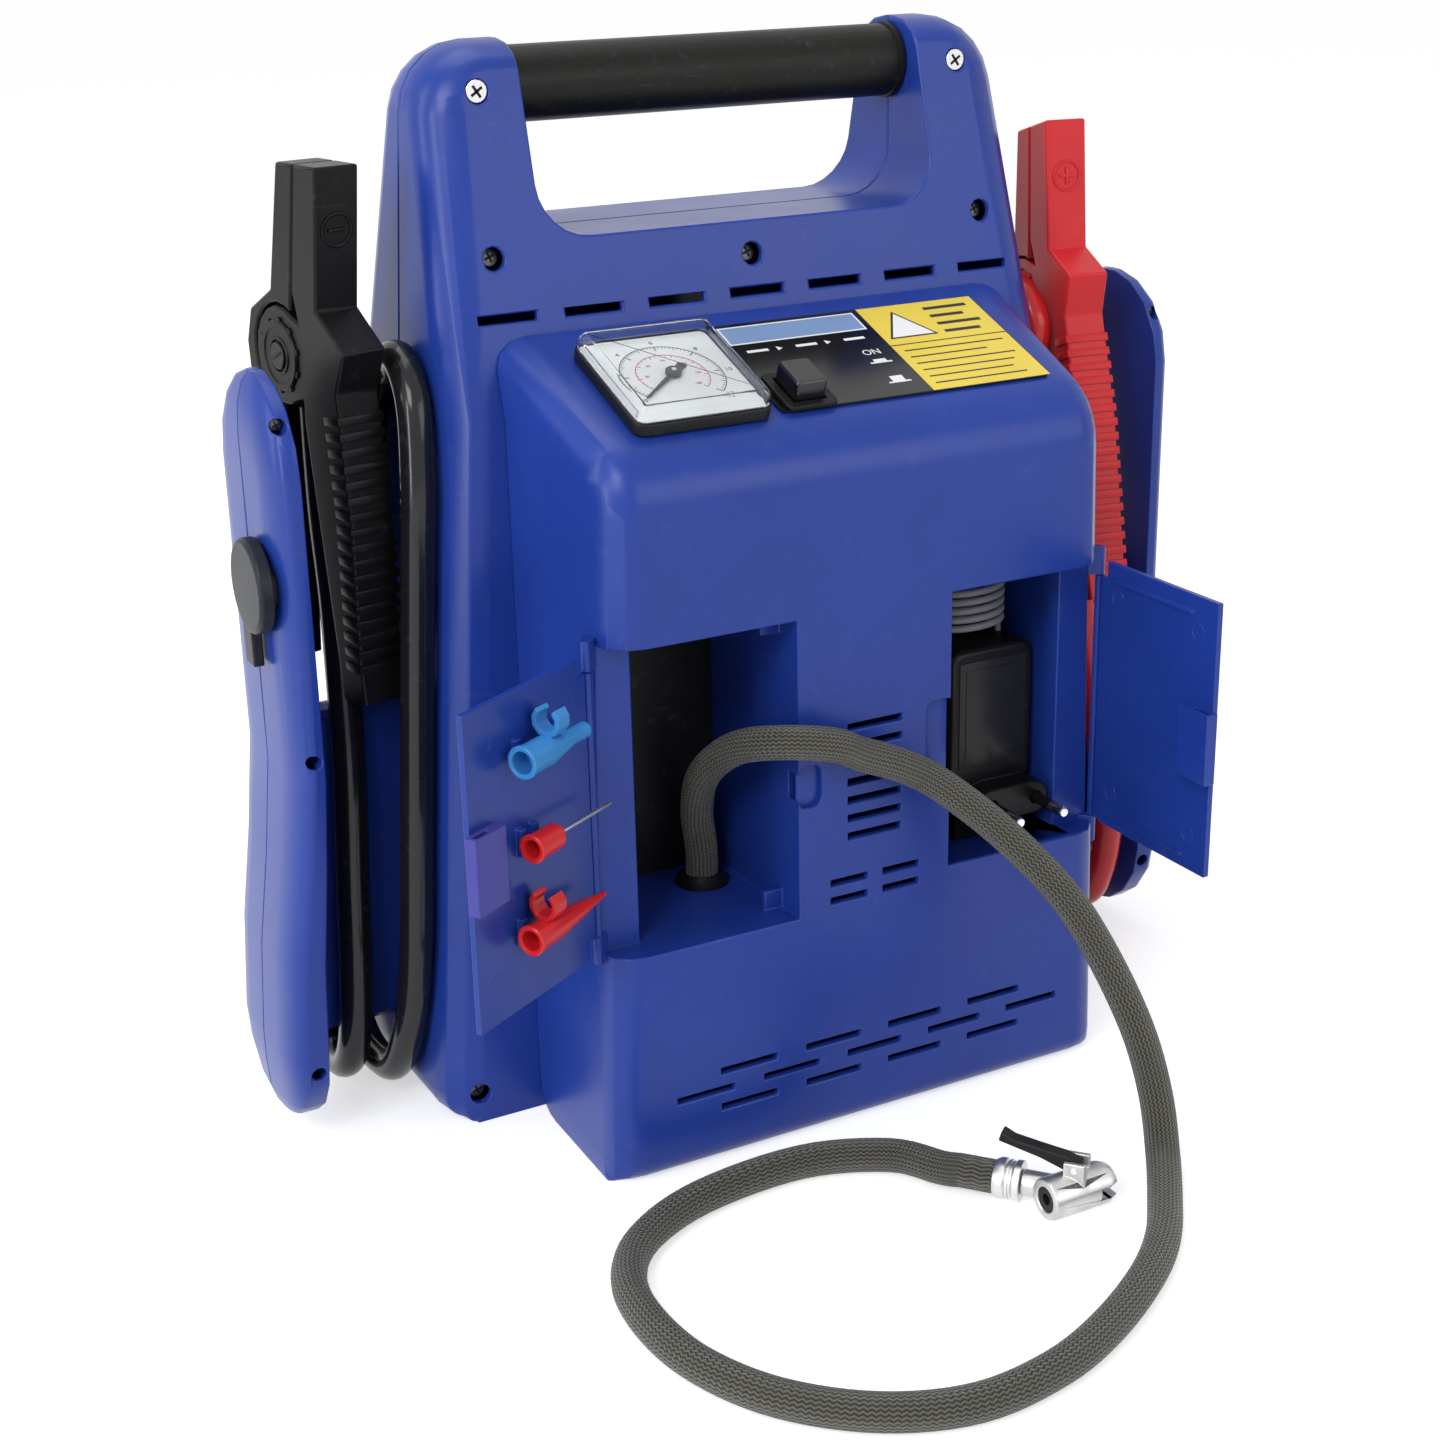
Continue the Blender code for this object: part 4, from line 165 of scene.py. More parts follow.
def feed(tree, entry, value):
    """Link a socket to an entry, or set the entry to a plain value."""
    if hasattr(value, "is_output"):
        tree.links.new(value, entry)
    else:
        entry.default_value = value


def add_node(tree, kind, x=0, y=0, **values):
    """Shader node of a kind, with its properties set."""
    node = tree.nodes.new("ShaderNode" + kind)
    node.location = (x, y)
    for key, value in values.items():
        setattr(node, key, value)
    return node


def math_node(tree, operation, *values, clamp=False):
    """Result of a sum over sockets or numbers."""
    node = add_node(tree, "Math", operation=operation, use_clamp=clamp)
    for entry, value in zip(node.inputs, values):
        feed(tree, entry, value)
    return node.outputs[0]


def blend_colours(tree, factor, first, second):
    """Colour that goes from the first to the second with the factor."""
    node = add_node(tree, "Mix", data_type="RGBA")
    for index, value in ((MIX_FACTOR, factor), (MIX_FIRST, first), (MIX_SECOND, second)):
        feed(tree, node.inputs[index], value)
    return node.outputs[MIX_RESULT]


def noise(tree, vector, scale, detail=2.0, roughness=0.5):
    """Noise from 0 to 1 over the vector."""
    node = add_node(tree, "TexNoise")
    tree.links.new(vector, node.inputs["Vector"])
    feed(tree, node.inputs["Scale"], scale)
    node.inputs["Detail"].default_value = detail
    node.inputs["Roughness"].default_value = roughness
    return node.outputs["Fac"]


def stretched(tree, vector, scale):
    """Vector scaled on each axis, for patterns that run one way."""
    node = add_node(tree, "Mapping")
    tree.links.new(vector, node.inputs["Vector"])
    node.inputs["Scale"].default_value = scale
    return node.outputs[0]


def ramp(tree, value, low, high):
    """0 below the low value, 1 above the high one, straight between."""
    node = add_node(tree, "MapRange")
    tree.links.new(value, node.inputs["Value"])
    node.inputs["From Min"].default_value = low
    node.inputs["From Max"].default_value = high
    return node.outputs["Result"]


def new_group(name, inputs, outputs):
    """Node group with named sockets; returns the tree, what it is given and what it puts out."""
    tree = bpy.data.node_groups.new(name, "ShaderNodeTree")
    for label, kind, default in inputs:
        socket(tree, label, kind, "INPUT", default)
    for label, kind in outputs:
        socket(tree, label, kind, "OUTPUT")
    start = tree.nodes.new("NodeGroupInput")
    end = tree.nodes.new("NodeGroupOutput")
    return tree, start.outputs, end.inputs


def moulded_group():
    """Moulded plastic: fine spark grain, soft flow mottling, dust and faint handling scuffs."""
    tree, given, out = new_group(
        "Moulded plastic",
        (("Vector", "Vector", None), ("Colour", "Color", (0.5, 0.5, 0.5, 1)),
         ("Roughness", "Float", 0.4), ("Grain", "Float", 1500.0), ("Wear", "Float", 0.5)),
        (("Colour", "Color"), ("Roughness", "Float"), ("Height", "Float")))
    vector = given["Vector"]
    grain = noise(tree, vector, given["Grain"], 2.0, 0.6)
    flow = ramp(tree, noise(tree, vector, 22.0, 3.0), 0.35, 0.68)
    dust = ramp(tree, noise(tree, vector, 160.0, 4.0, 0.7), 0.60, 0.78)
    scratches = noise(tree, stretched(tree, vector, (30, 30, 420)), 1.0, 3.0, 0.7)
    scuff = ramp(tree, scratches, 0.66, 0.8)
    worn = math_node(tree, "MULTIPLY", math_node(tree, "MAXIMUM", dust, scuff), given["Wear"])
    deep = blend_colours(tree, 0.10, given["Colour"], (0.0, 0.0, 0.0, 1))
    base = blend_colours(tree, flow, deep, given["Colour"])
    light = blend_colours(tree, 0.22, given["Colour"], (0.75, 0.77, 0.82, 1))
    shown = blend_colours(tree, math_node(tree, "MULTIPLY", worn, 0.28), base, light)
    tree.links.new(shown, out["Colour"])
    rough = math_node(tree, "ADD", given["Roughness"],
                      math_node(tree, "MULTIPLY", math_node(tree, "SUBTRACT", flow, 0.5), 0.05))
    rough = math_node(tree, "ADD", rough, math_node(tree, "MULTIPLY", worn, 0.12), clamp=True)
    tree.links.new(rough, out["Roughness"])
    tree.links.new(math_node(tree, "SUBTRACT", grain, math_node(tree, "MULTIPLY", scuff, 0.25)),
                   out["Height"])
    return tree


def metal_group():
    """Machined or plated metal: fine turning lines, tarnish and fingerprints."""
    tree, given, out = new_group(
        "Worked metal",
        (("Vector", "Vector", None), ("Colour", "Color", (0.7, 0.7, 0.7, 1)),
         ("Roughness", "Float", 0.25), ("Tarnish", "Float", 0.3)),
        (("Colour", "Color"), ("Roughness", "Float"), ("Height", "Float")))
    vector = given["Vector"]
    lines = noise(tree, stretched(tree, vector, (900, 900, 6000)), 1.0, 2.0)
    stain = ramp(tree, noise(tree, vector, 130.0, 4.0), 0.45, 0.75)
    dull = blend_colours(tree, 0.55, given["Colour"], (0.12, 0.11, 0.10, 1))
    amount = math_node(tree, "MULTIPLY", stain, given["Tarnish"])
    tree.links.new(blend_colours(tree, amount, given["Colour"], dull), out["Colour"])
    rough = math_node(tree, "ADD", given["Roughness"], math_node(tree, "MULTIPLY", amount, 0.25))
    rough = math_node(tree, "ADD", rough, math_node(tree, "MULTIPLY", lines, 0.08), clamp=True)
    tree.links.new(rough, out["Roughness"])
    tree.links.new(lines, out["Height"])
    return tree


def braid_group():
    """Braided sleeve: two crossing families of strands that pass over and under each other."""
    tree, given, out = new_group(
        "Braided sleeve",
        (("Around", "Float", 0.0), ("Along", "Float", 0.0), ("Vector", "Vector", None),
         ("Thread", "Color", (0.05, 0.05, 0.04, 1)), ("Gap", "Color", (0.004, 0.004, 0.003, 1))),
        (("Colour", "Color"), ("Roughness", "Float"), ("Height", "Float")))

    def strand(sign):
        turn = math_node(tree, "ADD", given["Around"],
                         math_node(tree, "MULTIPLY", given["Along"], sign))
        wave = math_node(tree, "SINE", math_node(tree, "MULTIPLY", turn, 2 * math.pi))
        return math_node(tree, "MULTIPLY_ADD", wave, 0.5, 0.5), turn

    one, turn_one = strand(1.0)
    two, turn_two = strand(-1.0)
    apart = math_node(tree, "SUBTRACT", turn_one, turn_two)
    over = math_node(tree, "SINE", math_node(tree, "MULTIPLY", apart, math.pi))
    side = ramp(tree, over, -0.25, 0.25)
    first = math_node(tree, "MULTIPLY", one, side)
    second = math_node(tree, "MULTIPLY", two, math_node(tree, "SUBTRACT", 1.0, side))
    height = math_node(tree, "ADD", first, second)
    fibre = noise(tree, given["Vector"], 2600.0, 2.0)
    mask = ramp(tree, height, 0.30, 0.75)
    light = blend_colours(tree, math_node(tree, "MULTIPLY", fibre, 0.55), given["Thread"],
                          (0.17, 0.16, 0.12, 1))
    tree.links.new(blend_colours(tree, mask, given["Gap"], light), out["Colour"])
    tree.links.new(math_node(tree, "MULTIPLY_ADD", mask, -0.12, 0.62), out["Roughness"])
    tree.links.new(math_node(tree, "ADD", height, math_node(tree, "MULTIPLY", fibre, 0.15)),
                   out["Height"])
    return tree


# ------------------------------------------------------------------ materials
def start_material(name, group, bump_distance, strength):
    """Material whose colour, roughness and relief come from a group; returns it and its nodes."""
    makers = {"Moulded plastic": moulded_group, "Worked metal": metal_group,
              "Braided sleeve": braid_group}
    material = bpy.data.materials.new(name)
    material.use_nodes = True
    tree = material.node_tree
    shader = tree.nodes["Principled BSDF"]
    effect = add_node(tree, "Group", -500, 100)
    effect.node_tree = bpy.data.node_groups.get(group) or makers[group]()
    place = add_node(tree, "TexCoord", -900, 0)
    bump = add_node(tree, "Bump", -220, -250)
    bump.inputs["Distance"].default_value = bump_distance
    bump.inputs["Strength"].default_value = strength
    links = tree.links
    links.new(place.outputs["Object"], effect.inputs["Vector"])
    links.new(effect.outputs["Colour"], shader.inputs["Base Color"])
    links.new(effect.outputs["Roughness"], shader.inputs["Roughness"])
    links.new(effect.outputs["Height"], bump.inputs["Height"])
    links.new(bump.outputs["Normal"], shader.inputs["Normal"])
    return material, shader, effect


def plastic(name, colour, roughness=0.36, wear=0.4, grain=1500.0, relief=0.00006, coat=0.0,
            strength=0.35, shine=0.24):
    """Moulded plastic, made once for each name."""
    found = bpy.data.materials.get(name)
    if found:
        return found
    material, shader, effect = start_material(name, "Moulded plastic", relief, strength)
    effect.inputs["Colour"].default_value = (*colour, 1)
    effect.inputs["Roughness"].default_value = roughness
    effect.inputs["Grain"].default_value = grain
    effect.inputs["Wear"].default_value = wear
    shader.inputs["Coat Weight"].default_value = coat
    shader.inputs["Coat Roughness"].default_value = 0.12
    shader.inputs["Specular IOR Level"].default_value = shine
    return material


def metal(name, colour, roughness=0.2, tarnish=0.3):
    """Worked metal, made once for each name."""
    found = bpy.data.materials.get(name)
    if found:
        return found
    material, shader, effect = start_material(name, "Worked metal", 0.00002, 0.25)
    effect.inputs["Colour"].default_value = (*colour, 1)
    effect.inputs["Roughness"].default_value = roughness
    effect.inputs["Tarnish"].default_value = tarnish
    shader.inputs["Metallic"].default_value = 1.0
    return material


def clear_plastic(name):
    """Clear polystyrene with faint scratches in its gloss."""
    material, shader, effect = start_material(name, "Moulded plastic", 0.00001, 0.08)
    effect.inputs["Colour"].default_value = (0.93, 0.95, 0.96, 1)
    effect.inputs["Roughness"].default_value = 0.02
    effect.inputs["Grain"].default_value = 400.0
    effect.inputs["Wear"].default_value = 0.08
    shader.inputs["Transmission Weight"].default_value = 1.0
    shader.inputs["IOR"].default_value = 1.3
    return material


def sleeve_material(settings, length):
    """Braided sleeve that follows the hose's own map: V round it, U along it."""
    material, shader, effect = start_material("hose sleeve", "Braided sleeve", 0.0006, 0.9)
    tree = material.node_tree
    place = add_node(tree, "TexCoord", -1100, 0)
    along_and_round = add_node(tree, "SeparateXYZ", -900, 150)
    tree.links.new(place.outputs["UV"], along_and_round.inputs[0])
    strands = settings.braid_strands
    pitch = math.pi * settings.hose_diameter / strands
    crossings = length / pitch * 0.75
    for index, name, count in ((1, "Around", float(strands)), (0, "Along", crossings)):
        scaled = math_node(tree, "MULTIPLY", along_and_round.outputs[index], count)
        tree.links.new(scaled, effect.inputs[name])
    effect.inputs["Thread"].default_value = (*settings.sleeve, 1)
    shader.inputs["Sheen Weight"].default_value = 0.25
    shader.inputs["Sheen Roughness"].default_value = 0.4
    return material


def housing(settings):
    return plastic("housing blue", settings.blue, 0.30, 0.35, settings.grain_size, shine=0.3)


def black_plastic(settings):
    return plastic("black plastic", settings.black, 0.38, 0.5, settings.grain_size)


def gloss_black():
    return plastic("gloss black", (0.006, 0.006, 0.007), 0.16, 0.2, 700.0, 0.00002, 0.4)


def clamp_skin(settings, word):
    if word == "black":
        return plastic("clamp black", (0.0045, 0.0045, 0.0048), 0.36, 0.4, 1900.0, 0.00009,
                       shine=0.16)
    return plastic("clamp red", settings.red, 0.36, 0.4, 1900.0, 0.00007)


def recess_shadow():
    return plastic("recess shadow", (0.003, 0.003, 0.003), 0.6)


def chrome():
    return metal("bright chrome", (0.78, 0.78, 0.80), 0.13, 0.25)


def dark_steel():
    return metal("dark screw steel", (0.10, 0.10, 0.11), 0.35, 0.5)


# ------------------------------------------------------------------ modelling helpers
def shade(bm, degrees=32.0):
    """Smooth faces, with sharp edges where they meet at more than the angle."""
    limit = math.radians(degrees)
    for face in bm.faces:
        face.smooth = True
    for edge in bm.edges:
        edge.smooth = len(edge.link_faces) == 2 and edge.calc_face_angle(0.0) < limit


def place_mesh(name, bm, materials):
    """Object at the origin that takes over the bmesh."""
    mesh = bpy.data.meshes.new(name)
    bm.to_mesh(mesh)
    bm.free()
    item = bpy.data.objects.new(name, mesh)
    bpy.context.scene.collection.objects.link(item)
    for material in materials:
        mesh.materials.append(material)
    return item


def keep(name, bm, material, body, local=Matrix.Identity(4)):
    """Turn a bmesh in a local frame in millimetres into a finished piece."""
    bm.transform(Matrix.Scale(MM, 4) @ local)
    bmesh.ops.remove_doubles(bm, verts=bm.verts, dist=1e-7)
    bmesh.ops.recalc_face_normals(bm, faces=bm.faces)
    shade(bm)
    item = place_mesh(name, bm, [material])
    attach(item, body)
    return item


def weigh_edges(bm, width, degrees):
    """Full rounding on long sharp edges and less beside short ones, so no corner runs out."""
    layer = bm.edges.layers.float.new("bevel_weight_edge")
    limit = math.radians(degrees)
    for edge in bm.edges:
        if len(edge.link_faces) == 2 and edge.calc_face_angle(0.0) > limit:
            near = min(other.calc_length() for vert in edge.verts for other in vert.link_edges)
            edge[layer] = min(1.0, near / (SHORT_EDGE * width))


def round_edges(item, width):
    """Live rounding of the weighed edges."""
    bevel = item.modifiers.new("rounded edges", "BEVEL")
    bevel.width = width
    bevel.segments = 2
    bevel.profile = 0.5
    bevel.limit_method = "WEIGHT"
    bevel.use_clamp_overlap = False
    bevel.miter_outer = "MITER_SHARP"


def dressed(node, materials, width=0.0, degrees=30.0, choose=None):
    """Copy of a solid with rounded edges; choose gives a face's material from its middle."""
    if not isinstance(materials, list):
        materials = [materials]
    bm = bmesh.new()
    bm.from_mesh(frame["nodes"][node].data)
    bmesh.ops.remove_doubles(bm, verts=bm.verts, dist=1e-6)
    bmesh.ops.dissolve_limit(bm, angle_limit=math.radians(0.6), verts=bm.verts, edges=bm.edges)
    if choose:
        for face in bm.faces:
            face.material_index = choose(face.calc_center_median() / MM)
    shade(bm, degrees)
    if width:
        weigh_edges(bm, width, degrees)
    item = place_mesh(node + "_look", bm, materials)
    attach(item, BODY_OF[node])
    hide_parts(node)
    if width:
        round_edges(item, width)
    item.modifiers.new("even shading", "WEIGHTED_NORMAL").keep_sharp = True
    return item


def add_into(bm, part):
    """Join a finished part to a bmesh and free it."""
    mesh = bpy.data.meshes.new("part")
    part.to_mesh(mesh)
    part.free()
    bm.from_mesh(mesh)
    bpy.data.meshes.remove(mesh)


def block(bm, low, high, round_to=0.0, local=Matrix.Identity(4)):
    """Block between two corners, with its edges rounded."""
    part = bmesh.new()
    bmesh.ops.create_cube(part, size=1.0)
    size = [b - a for a, b in zip(low, high)]
    middle = [(a + b) / 2 for a, b in zip(low, high)]
    part.transform(Matrix.Translation(middle) @ Matrix.Diagonal((*size, 1)))
    if round_to:
        bmesh.ops.bevel(part, geom=part.edges[:], offset=round_to, segments=2, profile=0.5,
                        affect="EDGES", material=-1)
    part.transform(local)
    add_into(bm, part)


def lathe_part(bm, profile, steps, local):
    """Closed profile of (radius, height) turned about the local Z axis."""
    part = bmesh.new()
    verts = [part.verts.new((radius, 0, height)) for radius, height in profile]
    edges = [part.edges.new((a, b)) for a, b in zip(verts, verts[1:] + verts[:1])]
    bmesh.ops.spin(part, geom=verts + edges, cent=(0, 0, 0), axis=(0, 0, 1), angle=2 * math.pi,
                   steps=steps, use_merge=True)
    bmesh.ops.remove_doubles(part, verts=part.verts, dist=1e-5)
    bmesh.ops.recalc_face_normals(part, faces=part.faces)
    part.transform(local)
    add_into(bm, part)


def facing(place, normal, roll=0.0):
    """Local frame whose Z axis is the outward normal at a place."""
    turn = Vector(normal).to_track_quat("Z", "Y").to_matrix().to_4x4()
    return Matrix.Translation(place) @ turn @ Matrix.Rotation(math.radians(roll), 4, "Z")


def screws(name, spots, radius):
    """Domed screw heads at the given frames, each with its cross drive as a dark inlay of painted
    shade.
    """
    heads, crosses = bmesh.new(), bmesh.new()
    reach, half = radius * 0.55, radius * 0.13
    for local in spots:
        lathe_part(heads, [(0, -1.5), (radius * 0.95, -1.5), (radius, 0), (radius * 0.86, 0.5),
                           (radius * 0.5, 0.8), (0, 0.9)], 24, local)
        for turn in (20, 110):
            block(crosses, (-reach, -half, 0.3), (reach, half, 0.93), 0.05,
                  local @ Matrix.Rotation(math.radians(turn), 4, "Z"))
    keep(name + "_heads", heads, dark_steel(), "pack")
    keep(name + "_drives", crosses, recess_shadow(), "pack")


def curve_mesh(curve):
    """Mesh of a curve or text; the curve itself is removed."""
    carrier = bpy.data.objects.new(curve.name + "_carrier", curve)
    bpy.context.scene.collection.objects.link(carrier)
    bpy.context.view_layer.update()
    mesh = bpy.data.meshes.new_from_object(carrier.evaluated_get(
        bpy.context.evaluated_depsgraph_get()))
    bpy.data.objects.remove(carrier)
    bpy.data.curves.remove(curve)
    return mesh


def lettering(text, size, local, name, material):
    """Flat printed sign made a mesh, centred in its local frame."""
    curve = bpy.data.curves.new(name, "FONT")
    curve.body = text
    curve.size = size
    curve.extrude = PRINT / 2
    curve.align_x = "CENTER"
    curve.align_y = "CENTER"
    mesh = curve_mesh(curve)
    bm = bmesh.new()
    bm.from_mesh(mesh)
    bpy.data.meshes.remove(mesh)
    keep(name, bm, material, "pack", local)


def smooth_route(points, cuts):
    """Smooth curve through the route points, each stretch cut into equal shares."""
    spots = [Vector(point) for point in points]
    ends = [2 * spots[0] - spots[1]] + spots + [2 * spots[-1] - spots[-2]]
    route = []
    for i in range(1, len(ends) - 2):
        a, b, c, d = ends[i - 1:i + 3]
        for k in range(cuts):
            t = k / cuts
            route.append(0.5 * ((2 * b) + (c - a) * t + (2 * a - 5 * b + 4 * c - d) * t ** 2
                                + (3 * b - a - 3 * c + d) * t ** 3))
    route.append(spots[-1])
    return route


def route_length(route):
    return sum((b - a).length for a, b in zip(route, route[1:]))


def swept(name, route, radius, material, nodes, rounds):
    """Tube along a route in millimetres, as a mesh that keeps the curve's own map."""
    curve = bpy.data.curves.new(name, "CURVE")
    curve.dimensions = "3D"
    curve.bevel_depth = radius * MM
    curve.bevel_resolution = rounds
    curve.use_fill_caps = True
    spline = curve.splines.new("POLY")
    spline.points.add(len(route) - 1)
    for spot, point in zip(spline.points, route):
        spot.co = (*(Vector(point) * MM), 1.0)
    spline.use_smooth = True
    mesh = curve_mesh(curve)
    mesh.name = name
    mesh.shade_smooth()
    item = bpy.data.objects.new(name, mesh)
    bpy.context.scene.collection.objects.link(item)
    mesh.materials.clear()
    mesh.materials.append(material)
    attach(item, "pack")
    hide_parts(*nodes)
    return item


# ------------------------------------------------------------------ camera and cords
def build_camera():
    """Camera at the place from which the pack is looked at."""
    data = bpy.data.cameras.new("camera")
    data.lens = 57.37
    data.sensor_width = 36.0
    data.clip_end = 100.0
    item = bpy.data.objects.new("camera", data)
    item.location = (-0.37879, -0.68646, 0.4148)
    item.rotation_euler = [math.radians(a) for a in (69.71755834, 1.19971982, -28.31873067)]
    bpy.context.scene.collection.objects.link(item)
    bpy.context.scene.camera = item


def hose_route():
    """Centreline of the air hose in millimetres, from the bin's floor to the ferrule."""
    floor = 5.85
    air = [(-42.5, -34.6, 84.3), (-42.5, -34.6, 97), (-44.6, -36.0, 112), (-45.6, -44.0, 128),
           (-43.4, -62.0, 142.6), (-37.9, -82.6, 150.4), (-21.9, -90.4, 148.9),
           (-12.4, -91.0, 144.2), (3.0, -93.0, 137.4), (14.7, -97.8, 129.9),
           (31.4, -108.4, 113.9), (47.4, -121.0, 93.3), (56.7, -131.8, 73.2),
           (63.4, -144.4, 48.5), (64.8, -154.2, 27.5), (60.8, -164.4, 10.5)]
    ground = [(49.5, -180.0), (34.0, -198.4), (16.0, -213.0), (-8.9, -227.2), (-34.2, -236.4),
              (-63.2, -238.6), (-89.7, -228.6), (-111.5, -208.6), (-124.1, -183.4),
              (-127.4, -157.1), (-123.0, -134.2), (-108.6, -116.0), (-81.1, -103.6),
              (-42.3, -101.2), (-14.0, -112.5)]
    ferrule_end = Vector((7.6, -143.65, floor + 1.45))
    heading = math.radians(CHUCK_HEADING)
    along = Vector((math.cos(heading), math.sin(heading), 0))
    inside = ferrule_end - along * 11.5
    before = inside - along * 5 + Vector((-1.2, 1.6, -0.3 * 1.45))
    points = air + [(x, y, floor) for x, y in ground] + [before, inside]
    return smooth_route(points, 6) + [ferrule_end]


def build_hose(settings):
    """Braided air hose with its crimped ferrule, clip-on chuck and thumb lever."""
    route = hose_route()
    length = route_length(route)
    radius = settings.hose_diameter / 2 / MM
    hose = swept("braided_hose", route, radius, sleeve_material(settings, length * MM),
                 ["air_hose"], 7)
    satin = metal("satin ferrule", (0.70, 0.70, 0.69), 0.33, 0.4)
    ferrule = dressed("hose_ferrule", satin)
    cast = metal("cast chuck metal", (0.60, 0.60, 0.59), 0.37, 0.5)
    head = dressed("chuck_body", cast, 0.0003, 40.0)
    lever = dressed("chuck_lever", black_plastic(settings), 0.0005)
    along = Matrix.Rotation(QUARTER, 4, "Y")
    mouth = bmesh.new()
    lathe_part(mouth, [(2.0, -12.0), (4.25, -12.0), (4.25, -9.0), (2.0, -9.0)], 28, CHUCK @ along)
    seal = keep("chuck_seal", mouth, plastic("chuck seal", (0.01, 0.01, 0.01), 0.5), "pack")
    bands = bmesh.new()
    for offset in (2.6, 4.9, 7.2):
        lathe_part(bands, [(6.2, offset - 0.5), (6.75, offset - 0.4), (6.75, offset + 0.4),
                           (6.2, offset + 0.5)], 28, FERRULE @ along)
    crimps = keep("ferrule_crimps", bands, satin, "pack")
    pin = bmesh.new()
    lathe_part(pin, [(0, -4.9), (1.1, -4.9), (1.1, 4.9), (0, 4.9)], 20,
               CHUCK_LEVER @ Matrix.Rotation(QUARTER, 4, "X"))
    hinge = keep("lever_pin", pin, chrome(), "pack")
    gland = bmesh.new()
    lathe_part(gland, [(6.0, 0.2), (9.4, 0.2), (9.4, 1.6), (8.6, 2.2), (6.9, 4.0), (6.0, 4.0)], 36,
               Matrix.Translation((-42.5, -34.6, 84.0)))
    keep("hose_gland", gland, black_plastic(settings), "pack")


def build_charger_lead(settings):
    """Lead of the charger wound above it, with its small round plug."""
    x, y = HANK_CENTRE

    def on_loop(angle, z):
        return Vector((x + HANK_REACH * math.cos(angle), y + HANK_WIDTH * math.sin(angle), z))

    step = 2 * math.pi / HANK_STEPS
    start = on_loop(0, HANK_BASE_Z + 0.3)
    route = [start, start + Vector((0, 0, 2.6))]
    route += [on_loop(step * k, HANK_START_Z + HANK_PITCH * k / HANK_STEPS)
              for k in range(4, HANK_LOOPS * HANK_STEPS + 1)]
    top = HANK_START_Z + HANK_LOOPS * HANK_PITCH
    route += [on_loop(step * k, top + HANK_END_RISE * math.sin(step * k))
              for k in range(1, HANK_STEPS // 4 + 1)]
    # The lead is black. Its lighter grey is painted highlight, standing in for the bright
    # highlights on its loops.
    lead = swept("charger_lead", route, CHARGER_LEAD_RADIUS,
                 plastic("charger lead highlight grey", (0.24, 0.24, 0.26), 0.35, 0.3, 900.0, 0.00003),
                 ["lead_hank"], 4)
    plug = dressed("charger_plug", black_plastic(settings))


# ------------------------------------------------------------------ body and handle
def body_face_y(z):
    """Depth of the body's front face at a height."""
    return BODY_FRONT_Y + LEAN * max(0.0, z - LEAN_START_Z)


def shell_facing(x, z, depth):
    """Frame on the body's front at a height, sunk by the depth."""
    normal = (0, -1, LEAN) if z > LEAN_START_Z else (0, -1, 0)
    return facing((x, body_face_y(z) + depth, z), normal)


def build_body(settings):
    """Two body shells, tube and rubber grip, with screws in their recesses."""
    blue = housing(settings)
    for node in ("service_shell", "plain_shell"):
        dressed(node, blue, settings.edge_round * 1.4)
    grip = plastic("grip rubber", (0.006, 0.006, 0.005), 0.42, 0.6, 900.0, 0.00018, 0.0, 0.5, 0.2)
    dressed("handle_grip", grip, 0.0006)
    dressed("handle_tube", metal("handle steel", (0.5, 0.5, 0.52), 0.3, 0.4))
    rims, crosses = bmesh.new(), bmesh.new()
    spots = [shell_facing(0, 293.5, 5.0)]
    for side, word in ((-1, "left"), (1, "right")):
        dressed(word + "_handle_screw", chrome(), 0.0003)
        lathe_part(rims, [(12.3, -1.3), (13.1, -1.1), (13.1, 1.1), (12.3, 1.3)], 48,
                   Matrix.Translation((side * 73.6, PARTING_Y, GRIP_Z))
                   @ Matrix.Rotation(QUARTER, 4, "Y"))
        spots += [shell_facing(side * 93.6, 300.0, 5.0), shell_facing(side * 121.0, 11.0, 5.0)]
        # The dark crosses in the handle screws are painted shade in their drive recesses.
        for turn in (35, 125):
            block(crosses, (-2.3, -0.45, -0.05), (2.3, 0.45, 0.12), 0.05,
                  facing((side * HANDLE_SCREW_X, body_face_y(GRIP_Z) + 0.3, GRIP_Z), (0, -1, 0),
                         turn))
    keep("grip_collars", rims, grip, "pack")
    screws("shell_screws", spots, 3.2)
    keep("handle_screw_drives", crosses, recess_shadow(), "pack")


# ------------------------------------------------------------------ service box
def build_service_box(settings):
    """Box in front of the body with its vents, latch reliefs and dark sheets of painted shade in
    the bins.
    """
    dressed("service_box", housing(settings), settings.edge_round)
    floors, shade_sheets = bmesh.new(), bmesh.new()
    block(floors, (-28.7, -77.3, 122.0), (-18.5, -76.0, 140.0), 0.3)
    block(floors, (19.6, -77.3, 123.6), (30.4, -76.0, 153.6), 0.3)
    keep("latch_relief_floors", floors, housing(settings), "pack")
    # The dark sheets on the bins' back and side walls are painted shade, standing in for the deep
    # shade inside the bins.
    for low, high in (((-82.7, -20.2, 84.4), (-29.3, -19.5, 188.6)),
                      ((30.9, -20.2, 90.4), (82.7, -19.5, 188.6)),
                      ((-82.8, -64.0, 84.4), (-82.0, -19.6, 188.6)),
                      ((30.9, -75.0, 90.4), (31.6, -19.6, 188.6))):
        block(shade_sheets, low, high, 0.2)
    dark = plastic("bin painted shade", (0.006, 0.006, 0.008), 0.55, 0.6, 900.0)
    keep("bin_painted_shade", shade_sheets, dark, "pack")


